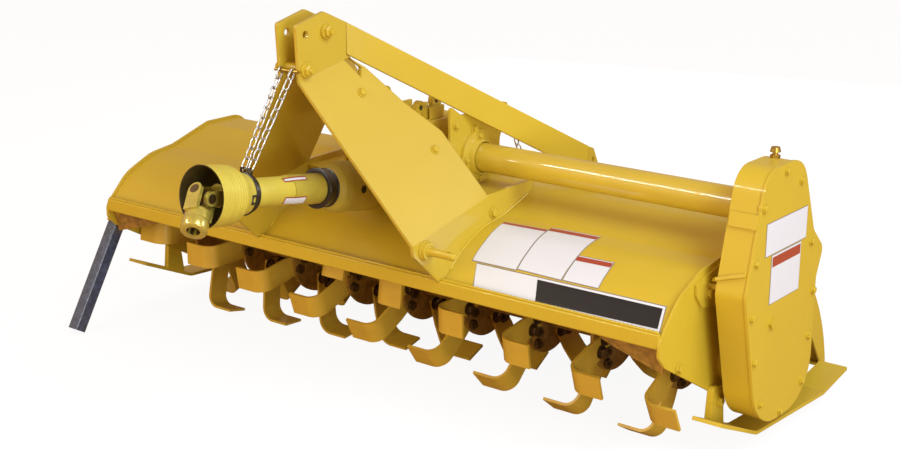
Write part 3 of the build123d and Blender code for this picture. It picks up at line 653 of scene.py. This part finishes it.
def revolve(bm, profile, origin, along, sides):
    """A skin turned about an axis; profile rows are (distance, radius)."""
    matrix = aim(along, origin)
    rings = []
    for distance, radius in profile:
        flat = ring_of(Z_AXIS * distance, radius, X_AXIS, Y_AXIS, sides)
        rings.append([bm.verts.new(matrix @ point) for point in flat])
    for low, high in zip(rings, rings[1:]):
        join_rings(bm, low, high)


def add_sheet(bm, corners, surface, columns, rows):
    """A sheet laid on a surface between four corners, given in order round it."""
    near_left, near_right, far_right, far_left = [Vector(corner) for corner in corners]
    grid = []
    for j in range(rows + 1):
        start = near_left.lerp(far_left, j / rows)
        end = near_right.lerp(far_right, j / rows)
        grid.append([bm.verts.new(surface(*start.lerp(end, i / columns))) for i in range(columns + 1)])
    for low, high in zip(grid, grid[1:]):
        for k in range(columns):
            bm.faces.new((low[k], low[k + 1], high[k + 1], high[k]))


def grown(corners, rim):
    """Four corners moved out from their middle by a rim."""
    middle = sum((Vector(corner) for corner in corners), Vector((0, 0))) / 4
    return [(u + math.copysign(rim, u - middle.x), v + math.copysign(rim, v - middle.y)) for u, v in corners]


def ring_of(centre, radius, first, second, steps):
    """Points round a circle that two directions span."""
    angles = [2 * math.pi * k / steps for k in range(steps)]
    return [centre + (first * math.cos(a) + second * math.sin(a)) * radius for a in angles]


# ---- surfaces that films and welds lie on
def on_hood(x, y, lift):
    """The point of the hood's top straight below x, y, raised along its normal."""
    place, normal, _, _ = HOOD_SKIN.ray_cast(Vector((x, y, 400)) * MM, -Z_AXIS)
    return place / MM + normal * lift


def on_cover(y, z, lift):
    """A point of the chain case cover's face."""
    return Vector((COVER_FACE + lift, y, z))


def guard_direction(turn):
    """The way out from the driveline's axis, turned up from +X."""
    return X_AXIS * math.cos(turn) + SHAFT_RISE * math.sin(turn)


def on_guard(distance, degrees, lift):
    """A point on the guard tube, so far along the shaft and so many degrees up from +X."""
    tube = FRONT_TUBE_RADIUS if distance < REAR_TUBE_START else REAR_TUBE_RADIUS
    return station(distance) + guard_direction(math.radians(degrees)) * (tube + lift)


def station(distance, up=0.0, side=0.0):
    """A point along the driveline from the front joint, above its axis and to its side."""
    return SHAFT_ORIGIN + SHAFT_ALONG * distance + SHAFT_RISE * up + X_AXIS * side


def add_bolt_circle(bm, distance, radius, count, first, axis, width, washer=True):
    """Bolts on a circle round the driveline's axis."""
    for k in range(count):
        angle = first + 2 * math.pi * k / count
        place = station(distance, radius * math.sin(angle), radius * math.cos(angle))
        add_bolt(bm, place, axis, width, turn=k, washer=washer)


# ---- operators
class TILLER_OT_paint(bpy.types.Operator):
    """Give every solid of the machine its finish"""

    bl_idname = "tiller.paint"
    bl_label = "Paint the machine"

    def execute(self, context):
        make_materials(context.scene.tiller_paint)
        for name, solid in frame["nodes"].items():
            solid.data.materials.clear()
            solid.data.materials.append(MATERIALS[NODE_FINISH.get(name, "enamel")])
        return {"FINISHED"}


class TILLER_OT_case_trim(bpy.types.Operator):
    """Bolt the chain case cover down and add its ears, breather, pad and strap"""

    bl_idname = "tiller.case_trim"
    bl_label = "Trim the chain case"

    def execute(self, context):
        head = context.scene.tiller_sizes.bolt_head / MM

        def bolts(bm):
            # Heads stand at odd angles: a number of the place serves as its turn, here and below.
            for y, z in COVER_BOLTS:
                add_bolt(bm, (COVER_FACE, y, z), X_AXIS, head, turn=y)
            # One head stands by itself, 78 mm behind the cover's face and in line with the first bolt.
            add_bolt(bm, (INNER_BOLT_X, *COVER_BOLTS[0]), X_AXIS, head)

        def ears(bm):
            for y, z in COVER_BOLTS:
                add_prism(bm, aim(X_AXIS, (COVER_FACE - EAR_DEPTH, y, z)), EAR_RADIUS, EAR_THICKNESS, 24)

        def breather(bm):
            add_prism(bm, aim(Z_AXIS, BREATHER_FOOT), 13, 8, 6)
            add_prism(bm, aim(Z_AXIS, BREATHER_FOOT + Z_AXIS * 8), 7, 8, 20)
            add_prism(bm, aim(Z_AXIS, BREATHER_FOOT + Z_AXIS * 16), 14, 12, 24, 11)

        def pad(bm):
            lean = Matrix.Rotation(-FRONT_WALL_LEAN, 4, "X")
            add_box(bm, (0, 0, 0), PAD_SIZE, Matrix.Translation(PAD_CENTRE) @ lean)

        def strap(bm):
            path = [Vector(point) for point in STRAP_PATH]
            add_tube(bm, path, [STRAP_RADIUS] * len(path), 4)

        piece("cover_bolts", bolts)
        piece("cover_ears", ears)
        piece("case_breather", breather, "plated")
        piece("case_pad", pad)
        piece("case_strap", strap)
        return {"FINISHED"}


class TILLER_OT_frame_bolts(bpy.types.Operator):
    """Put the bolts through the headstock, braces, supports, side plates, skids and right hub"""

    bl_idname = "tiller.frame_bolts"
    bl_label = "Bolt the frame"

    def execute(self, context):
        def bolts(bm):
            rows = [(1, row) for row in PAIRED_BOLTS + BRACKET_BOLTS] + [(-1, row) for row in PAIRED_BOLTS]
            for side, (x, y, z, axis, width) in rows:
                facing = Vector((side * axis[0], axis[1], axis[2]))
                add_bolt(bm, (side * x, y, z), facing, width, turn=0.2 + y * 0.01)

        def headstock(bm):
            for side in (-1, 1):
                outward = X_AXIS * side
                for y, z in HEADSTOCK_BOLTS:
                    face = Vector((side * CHEEK_FACE, y, z))
                    add_prism(bm, aim(outward, face), 21, HEADSTOCK_WASHER, 28)
                    add_bolt(bm, face + outward * HEADSTOCK_WASHER, outward, HEADSTOCK_BOLT, turn=z)
                    add_prism(bm, aim(outward, face + outward * 17), 8.5, 10, 20, 7.5)

        def hub(bm):
            centre = Vector((-HUB_FACE, ROTOR_AXIS.y, ROTOR_AXIS.z))
            for k in range(4):
                angle = math.pi * (k / 2 + 0.25)
                place = centre + (Y_AXIS * math.cos(angle) + Z_AXIS * math.sin(angle)) * HUB_BOLT_CIRCLE
                add_bolt(bm, place, -X_AXIS, MEDIUM_BOLT, turn=k)
            add_prism(bm, aim(-X_AXIS, centre), 30, 6, 32, 27)

        piece("frame_bolts", bolts)
        piece("headstock_bolts", headstock)
        piece("hub_bolts", hub, "cast")
        return {"FINISHED"}


class TILLER_OT_corner_shields(bpy.types.Operator):
    """Hang the curved shields that close the corners under the lip, beside the side plates"""

    bl_idname = "tiller.corner_shields"
    bl_label = "Hang the corner shields"

    def execute(self, context):
        def shield(bm, side, behind):
            corners = [(SHIELD_INNER, 0), (SHIELD_OUTER, 0), (SHIELD_OUTER, 1), (SHIELD_INNER, 1)]
            front, top = SHIELD_TOP
            least, growth = SHIELD_DROP

            def surface(x, down):
                share = max(0.0, (x - SHIELD_INNER) / (SHIELD_OUTER - SHIELD_INNER))
                drop = least + growth * share**0.8
                y = front + behind + SHIELD_BOW * math.sin(1.3 * down)
                return Vector((side * x, y, top - drop * down))

            add_sheet(bm, corners, surface, 12, 8)

        def shields(bm):
            for side in (-1, 1):
                for behind in SHIELD_SHEETS:
                    shield(bm, side, behind)

        # The shields take the flanges' dark brown: painted shade under the lip.
        piece("corner_shields", shields, "flange", rounded=True)
        return {"FINISHED"}


class TILLER_OT_tube_clamp(bpy.types.Operator):
    """Clamp the cross tube to the gearbox support with a collar and a square plate"""

    bl_idname = "tiller.tube_clamp"
    bl_label = "Clamp the cross tube"

    def execute(self, context):
        def collar(bm):
            revolve(bm, COLLAR_PROFILE, TUBE_AXIS, X_AXIS, 48)

        def clamp(bm):
            # The square stands on its corner, with a bolt in each of the four.
            stand = Matrix.Translation(TUBE_AXIS + X_AXIS * CLAMP_X) @ Matrix.Rotation(math.pi / 4, 4, "X")
            add_box(bm, (0, 0, 0), CLAMP_SIZE, stand)
            for reach in (Z_AXIS, -Z_AXIS, -Y_AXIS, Y_AXIS):
                corner = TUBE_AXIS + reach * CLAMP_BOLT_REACH
                add_bolt(bm, corner + X_AXIS * CLAMP_BOLT_X, X_AXIS, SMALL_BOLT, turn=corner.y)

        piece("tube_collar", collar, rounded=True)
        piece("tube_clamp", clamp)
        return {"FINISHED"}


class TILLER_OT_gearbox_trim(bpy.types.Operator):
    """Add the gearbox's input bolts, plugs, rear cover bolts, ribs and lugs, with dark discs painted as the
    shade in their bores
    """

    bl_idname = "tiller.gearbox_trim"
    bl_label = "Trim the gearbox"

    def execute(self, context):
        def input_bolts(bm):
            add_bolt_circle(bm, *INPUT_BOLTS, -SHAFT_ALONG, SMALL_BOLT, washer=False)

        def plugs(bm):
            for place, axis, radius, height in GEAR_PLUGS:
                add_prism(bm, aim(axis, place), radius, height, 6)
            for x in REAR_COVER_COLUMNS:
                for z in REAR_COVER_ROWS:
                    add_bolt(bm, (x, REAR_COVER_FACE, z), Y_AXIS, SMALL_BOLT, turn=x)

        def ribs(bm):
            for centre in GEAR_RIBS:
                add_box(bm, centre, RIB_SIZE)

        def on_lugs(bm, reach, radius, height, sides):
            for side in (-1, 1):
                for y, z in GEAR_LUGS:
                    add_prism(bm, aim(X_AXIS * side, (side * reach, y, z)), radius, height, sides)

        def lug_faces(bm):
            on_lugs(bm, LUG_INNER, LUG_RADIUS, LUG_OUTER - LUG_INNER, 28)

        def lug_bore_shade_discs(bm):
            on_lugs(bm, LUG_OUTER, LUG_BORE_RADIUS, 0.8, 20)

        piece("input_bolts", input_bolts)
        piece("gearbox_plugs", plugs, "cast")
        piece("casting_ribs", ribs, "cast")
        piece("lug_faces", lug_faces, "cast")
        # Thin dark discs on the lugs' faces: painted shade where the bores are.
        piece("lug_bore_shade_discs", lug_bore_shade_discs, "inside")
        return {"FINISHED"}


class TILLER_OT_welds(bpy.types.Operator):
    """Lay the weld beads on the lip, the hitch plates, the brace feet and the supports"""

    bl_idname = "tiller.welds"
    bl_label = "Lay the welds"

    def execute(self, context):
        width = context.scene.tiller_sizes.weld / MM

        def beads(bm):
            add_bead(bm, [Vector(end) for end in LIP_WELD], width, LIP_RIPPLE)
            for side in (-1, 1):
                for x, start, end, step in HOOD_WELDS:
                    add_bead(bm, [on_hood(side * x, y, 1.0) for y in range(start, end, step)], width)

        piece("weld_beads", beads, rounded=True)
        return {"FINISHED"}


class TILLER_OT_blank_plates(bpy.types.Operator):
    """Stick the blank plates on the hood, the cover and the driveline guard"""

    bl_idname = "tiller.blank_plates"
    bl_label = "Stick the blank plates"

    def execute(self, context):
        places = [
            ("hood", self.ruled(HOOD_PLATES, 2.5), on_hood, FLAT_LIFTS, (6, 12)),
            ("cover", self.ruled(COVER_PLATES, 2.0), on_cover, FLAT_LIFTS, (1, 1)),
            ("guard", GUARD_PLATES, on_guard, GUARD_LIFTS, (2, 8)),
        ]
        for colour in FLAT_LIFTS:
            for place in places:
                self.stick(colour, *place)
        return {"FINISHED"}

    @staticmethod
    def ruled(plates, rim):
        """The plates, and under each white one a rule that shows as a thin rim."""
        return plates + [("rule", grown(corners, rim)) for kind, corners in plates if kind == "white"]

    @staticmethod
    def stick(colour, place, plates, surface, lifts, grid):
        """One piece of one film, if the place has any of it."""
        sheets = [corners for kind, corners in plates if kind == colour]
        if not sheets:
            return

        def build(bm):
            for corners in sheets:
                add_sheet(bm, corners, lambda u, v: surface(u, v, lifts[colour]), *grid)

        piece(f"{place}_plates_{colour}", build, colour)


class TILLER_OT_chains(bpy.types.Operator):
    """Hang the round-link chains of the driveline guard and the tailgate"""

    bl_idname = "tiller.chains"
    bl_label = "Hang the chains"

    def execute(self, context):
        wire = context.scene.tiller_sizes.chain_wire / MM

        def guard(bm):
            for side in (-1, 1):
                mirror = Matrix.Diagonal((side, 1, 1))
                top, bottom = mirror @ GUARD_CHAIN_TOP, mirror @ GUARD_CHAIN_BOTTOM
                add_chain(bm, top, bottom, GUARD_CHAIN_LINKS, wire, GUARD_CHAIN_WIDTH, False)

        def gate(bm):
            add_chain(bm, GATE_CHAIN_TOP, GATE_CHAIN_BOTTOM, GATE_CHAIN_LINKS, wire, GATE_CHAIN_WIDTH, True)

        made = piece("round_guard_chains", guard, "zinc", rounded=True)
        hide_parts("guard_chains")

        # The gate's chain runs straight from its ring on the frame to its lug on the tailgate.
        made = make_object("round_gate_chain", gate, "zinc", rounded=True)
        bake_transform(made)
        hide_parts("gate_chain")
        return {"FINISHED"}


class TILLER_OT_guard_bells(bpy.types.Operator):
    """Mould the ribbed bells of the driveline guard"""

    bl_idname = "tiller.guard_bells"
    bl_label = "Mould the guard bells"

    def execute(self, context):
        self.mould("front_bell", FRONT_BELL, FRONT_RIBS, "guard")
        # The rear bell's darker olive is painted shade.
        self.mould("rear_bell", REAR_BELL, REAR_RIBS, "faded")
        return {"FINISHED"}

    @staticmethod
    def ribbed(outline, ribs):
        """The outline in steps of about 2 mm, raised where a rib stands."""
        fine = []
        for (s0, r0), (s1, r1) in zip(outline, outline[1:]):
            steps = max(1, int((s1 - s0) / 2))
            fine += [(s0 + (s1 - s0) * k / steps, r0 + (r1 - r0) * k / steps) for k in range(steps)]
        fine.append(outline[-1])
        raised = []
        for s, r in fine:
            for start, end, pitch, height in ribs:
                if start <= s <= end and (s - start) % pitch < pitch / 2:
                    r += height
            raised.append((s, r))
        return raised

    @classmethod
    def mould(cls, node_name, outline, ribs, material):
        """A closed shell that stands in for the CAD's bell, its inside painted dark as painted shade."""
        outside = cls.ribbed(outline, ribs)
        inside = [(s, r - BELL_WALL) for s, r in reversed(outline)]
        profile = outside + inside + [outside[0]]

        def shell(bm):
            revolve(bm, profile, SHAFT_ORIGIN, SHAFT_ALONG, BELL_SIDES)

        made = piece(f"{node_name}_skin", shell, material, rounded=True)
        # The inside faces take the dark material, which is painted shade.
        made.data.materials.append(MATERIALS["inside"])
        for face in made.data.polygons[BELL_SIDES * len(outside) :]:
            face.material_index = 1
        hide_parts(node_name)


class TILLER_OT_guard_fittings(bpy.types.Operator):
    """Fit the guard's latch, collar rings and grease port"""

    bl_idname = "tiller.guard_fittings"
    bl_label = "Fit the guard's latch and rings"

    def execute(self, context):
        def latch(bm):
            outward = guard_direction(LATCH_TURN)
            sideways = outward.cross(SHAFT_ALONG)
            facing = Matrix((SHAFT_ALONG, sideways, outward)).transposed().to_4x4()
            middle = SHAFT_ORIGIN + SHAFT_ALONG * LATCH_STATION + outward * LATCH_RADIUS
            for along, across, size in LATCH_BARS:
                add_box(bm, (along, across, 0), size, Matrix.Translation(middle) @ facing)

        def rings(bm):
            for start, end, radius in GUARD_RINGS:
                profile = [
                    (start, GRIP_RADIUS),
                    (start, radius - 1),
                    (start + 1, radius),
                    (end - 1, radius),
                    (end, radius - 1),
                    (end, GRIP_RADIUS),
                ]
                revolve(bm, profile, SHAFT_ORIGIN, SHAFT_ALONG, BELL_SIDES)

        def port(bm):
            outward = (PORT_PLACE - station(PORT_STATION)).normalized()
            add_prism(bm, aim(outward, PORT_PLACE + outward * 0.5), 11, 2, 24)

        piece("guard_latches", latch, "black")
        piece("guard_rings", rings, "black", rounded=True)
        piece("bell_port", port, "black")
        return {"FINISHED"}


class TILLER_OT_joint_trim(bpy.types.Operator):
    """Bolt the clutch, cap the joint and add the yoke's collar and splines"""

    bl_idname = "tiller.joint_trim"
    bl_label = "Trim the universal joint"

    def execute(self, context):
        def clutch(bm):
            add_bolt_circle(bm, *CLUTCH_BOLTS, SHAFT_ALONG, MEDIUM_BOLT)

        def caps(bm, axis):
            for outward in (-axis, axis):
                add_prism(bm, aim(outward, SHAFT_ORIGIN + outward * CAP_REACH), CAP_RADIUS, CAP_HEIGHT, 32)

        def collar(bm):
            revolve(bm, YOKE_COLLAR, SHAFT_ORIGIN, YOKE_ALONG, 48)

        def splines(bm):
            base = aim(YOKE_ALONG, SHAFT_ORIGIN)
            for k in range(6):
                add_box(bm, SPLINE_CENTRE, SPLINE_SIZE, base @ Matrix.Rotation(math.pi * k / 3, 4, "Z"))

        piece("clutch_bolts", clutch, "oiled", "driveline")
        piece("shaft_joint_caps", lambda bm: caps(bm, X_AXIS), "oiled", "driveline")
        piece("yoke_joint_caps", lambda bm: caps(bm, YOKE_ACROSS), "oiled", "yoke")
        piece("yoke_collar", collar, "forged", "yoke", rounded=True)
        piece("yoke_splines", splines, "oiled", "yoke")
        return {"FINISHED"}


class TILLER_OT_blade_bolts(bpy.types.Operator):
    """Bolt every blade to its flange"""

    bl_idname = "tiller.blade_bolts"
    bl_label = "Bolt the blades"

    def execute(self, context):
        head = context.scene.tiller_sizes.blade_bolt / MM

        def bolt_through(bm, place, hand, turn):
            """A head on the blade's side of the flange, a nut and the bolt's end on the other."""
            outward = X_AXIS * hand
            add_bolt(bm, place + outward * HEAD_FOOT, outward, head, turn=turn)
            nut = place - outward * NUT_FOOT
            add_prism(bm, aim(-outward, nut, turn), head / 2, NUT_HEIGHT, 6)
            add_prism(bm, aim(-outward, nut), SHANK_RADIUS, SHANK_LENGTH, 10)

        def bolts(bm):
            for hand, first in BLADE_HANDS:
                for index in range(FLANGES):
                    centre = ROTOR_AXIS + X_AXIS * (index - (FLANGES - 1) / 2) * FLANGE_PITCH
                    for blade in range(3):
                        turn = Matrix.Rotation(math.radians(first + HELIX_STEP * index + 120 * blade), 3, "X")
                        for radius, shift in BLADE_BOLT_SPOTS:
                            bolt_through(bm, centre + turn @ Vector((0, shift, -radius)), hand, index)

        piece("blade_bolts", bolts, "oiled", "rotor")
        return {"FINISHED"}


class TILLER_OT_pin_trim(bpy.types.Operator):
    """Add the hitch pins' tapered ends and welds and the stand's pin with its ring"""

    bl_idname = "tiller.pin_trim"
    bl_label = "Trim the pins"

    def execute(self, context):
        def ends(bm):
            for side in (-1, 1):
                add_prism(bm, aim(X_AXIS * side, X_AXIS * side * HITCH_PIN_END), 11.1, 6, 32, 7)

        def welds(bm):
            for side in (-1, 1):
                for reach, radius in PIN_WELDS:
                    ring = ring_of(X_AXIS * side * reach, radius, Y_AXIS, Z_AXIS, 32)
                    add_bead(bm, ring + [ring[0]], PIN_WELD_WIDTH)

        def stand(bm):
            middle = STAND_BOLT + STAND_DOWN * 60
            add_prism(bm, aim(-X_AXIS, middle + X_AXIS * 30), 8, 64, 20)
            ring = ring_of(middle + Vector((-32, 0, -12)), 14, Z_AXIS, Y_AXIS, 20)
            add_tube(bm, ring, [2] * len(ring), 8, closed=True)

        piece("hitch_pin_ends", ends)
        piece("pin_welds", welds, rounded=True)
        piece("stand_pin", stand, "zinc", rounded=True)
        return {"FINISHED"}


# ---- stage
class Lamp(NamedTuple):
    """A soft rectangular lamp; places and sizes in metres, power in watts."""

    name: str
    place: tuple
    target: tuple
    size: tuple
    watts: float
    colour: str
    lights_paint: bool = True
    mirrored: bool = True


LAMPS = [
    Lamp("key_lamp", (4.2, -0.6, 4.0), (0.2, 0.2, 0.0), (3.0, 3.0), 226.8, "DDE9FF"),
    Lamp("side_lamp", (4.6, -1.9, 0.5), (0.6, 0.2, -0.1), (2.2, 2.2), 102, "F9FFF9"),
    # Too broad and too near to be seen mirrored in the paint.
    Lamp("fill_lamp", (-1.0, -4.6, 1.0), (0, 0.2, -0.1), (3.4, 3.4), 126, "FFE7C5", mirrored=False),
    # These two only draw highlights; they add no light of their own to the paint.
    Lamp("strip_lamp", (-2.0, -3.1, 3.0), (0.6, 0.4, 0.15), (3.4, 0.12), 100, "FFFFFF", lights_paint=False),
    Lamp("glint_lamp", (3.3, 2.8, 1.8), (0.05, -0.06, 0.5), (0.9, 0.9), 40, "FFFFFF", lights_paint=False),
    # As broad as the fill, and like it not seen mirrored.
    Lamp("back_lamp", (-1.2, 5.0, 1.2), (0, 0.4, 0), (3.4, 3.4), 70, "FFF6E7", mirrored=False),
]
CAMERA_PLACE = (2.706, -2.910, 1.160)
CAMERA_AIM = (-0.5925, 0.7557, -0.2790)
CAMERA_LENS = 60


class TILLER_OT_stage(bpy.types.Operator):
    """Set the floor, the room, the soft lamps and the camera"""

    bl_idname = "tiller.stage"
    bl_label = "Set the stage"

    def execute(self, context):
        self.lay_floor(context)
        self.light_room(context)
        for lamp in LAMPS:
            self.hang(context, lamp)
        self.place_camera(context)
        context.scene.view_settings.view_transform = "Standard"
        return {"FINISHED"}

    @staticmethod
    def lay_floor(context):
        # Painted studio floor: an even near-white that still takes the machine's shadow.
        # What is seen is nearly white by itself; what the machine gets from it is a dimmer, warm bounce.
        material = bpy.data.materials.new("pale_studio_floor")
        tree = blank_tree(material)
        paint = shade(linear(context.scene.tiller_paint.floor), 0.14)
        face = node(tree, "ShaderNodeBsdfDiffuse", inputs={"Color": paint})
        glow = node(tree, "ShaderNodeEmission", inputs={"Color": linear("FFFFFF"), "Strength": 0.92})
        seen = node(tree, "ShaderNodeAddShader", links={0: (face, 0), 1: (glow, 0)})
        bounce = node(tree, "ShaderNodeBsdfDiffuse", inputs={"Color": linear("B59573")})
        ray = node(tree, "ShaderNodeLightPath")
        direct = node(
            tree,
            "ShaderNodeMath",
            operation="MAXIMUM",
            links={0: (ray, "Is Camera Ray"), 1: (ray, "Is Transmission Ray")},
        )
        both = node(tree, "ShaderNodeMixShader", links={0: (direct, 0), 1: (bounce, 0), 2: (seen, 0)})
        node(tree, "ShaderNodeOutputMaterial", links={"Surface": (both, 0)})

        bm = bmesh.new()
        add_box(bm, (0, 0, FLOOR_Z - 0.006), (60, 60, 0.01))
        mesh = bpy.data.meshes.new("studio_floor")
        bm.to_mesh(mesh)
        bm.free()
        mesh.materials.append(material)
        floor = bpy.data.objects.new("studio_floor", mesh)
        context.scene.collection.objects.link(floor)

    @staticmethod
    def light_room(context):
        # A white backdrop to the eye, a warm and dimmer room to everything else.
        world = bpy.data.worlds.new("soft_room")
        sky = blank_tree(world)
        backdrop = node(sky, "ShaderNodeBackground", inputs={"Color": linear("FFFFFF"), "Strength": 1.0})
        room = node(sky, "ShaderNodeBackground", inputs={"Color": linear("FFD7B5"), "Strength": 0.55})
        ray = node(sky, "ShaderNodeLightPath")
        choice = {0: (ray, "Is Camera Ray"), 1: (room, 0), 2: (backdrop, 0)}
        shown = node(sky, "ShaderNodeMixShader", links=choice)
        node(sky, "ShaderNodeOutputWorld", links={"Surface": (shown, 0)})
        context.scene.world = world

    @staticmethod
    def hang(context, lamp):
        light = bpy.data.lights.new(lamp.name, "AREA")
        light.shape = "RECTANGLE"
        light.size, light.size_y = lamp.size
        light.energy = lamp.watts
        light.color = linear(lamp.colour)[:3]
        made = bpy.data.objects.new(lamp.name, light)
        made.location = lamp.place
        made.rotation_mode = "QUATERNION"
        made.rotation_quaternion = (Vector(lamp.target) - Vector(lamp.place)).to_track_quat("-Z", "Y")
        made.visible_diffuse = lamp.lights_paint
        made.visible_glossy = lamp.mirrored
        context.scene.collection.objects.link(made)

    @staticmethod
    def place_camera(context):
        camera = bpy.data.cameras.new("studio_camera")
        camera.lens = CAMERA_LENS
        camera.sensor_width = 36
        camera.clip_end = 100
        made = bpy.data.objects.new("studio_camera", camera)
        made.location = CAMERA_PLACE
        made.rotation_mode = "QUATERNION"
        made.rotation_quaternion = Vector(CAMERA_AIM).to_track_quat("-Z", "Y")
        context.scene.collection.objects.link(made)
        context.scene.camera = made


OPERATORS = [
    TILLER_OT_paint,
    TILLER_OT_case_trim,
    TILLER_OT_frame_bolts,
    TILLER_OT_corner_shields,
    TILLER_OT_tube_clamp,
    TILLER_OT_gearbox_trim,
    TILLER_OT_welds,
    TILLER_OT_blank_plates,
    TILLER_OT_chains,
    TILLER_OT_guard_bells,
    TILLER_OT_guard_fittings,
    TILLER_OT_joint_trim,
    TILLER_OT_blade_bolts,
    TILLER_OT_pin_trim,
    TILLER_OT_stage,
]


class TILLER_PT_sidebar(bpy.types.Panel):
    bl_label = "Tiller"
    bl_idname = "TILLER_PT_sidebar"
    bl_space_type = "VIEW_3D"
    bl_region_type = "UI"
    bl_category = "Tiller"

    def draw(self, context):
        for operator in OPERATORS:
            self.layout.operator(operator.bl_idname)


CLASSES = [TillerPaint, TillerSizes, *OPERATORS, TILLER_PT_sidebar]


def register():
    for cls in CLASSES:
        bpy.utils.register_class(cls)
    bpy.types.Scene.tiller_paint = PointerProperty(type=TillerPaint)
    bpy.types.Scene.tiller_sizes = PointerProperty(type=TillerSizes)


def unregister():
    del bpy.types.Scene.tiller_sizes
    del bpy.types.Scene.tiller_paint
    for cls in reversed(CLASSES):
        bpy.utils.unregister_class(cls)


def main():
    register()
    for operator in OPERATORS:
        group, name = operator.bl_idname.split(".")
        getattr(getattr(bpy.ops, group), name)()


if __name__ == "__main__":
    main()
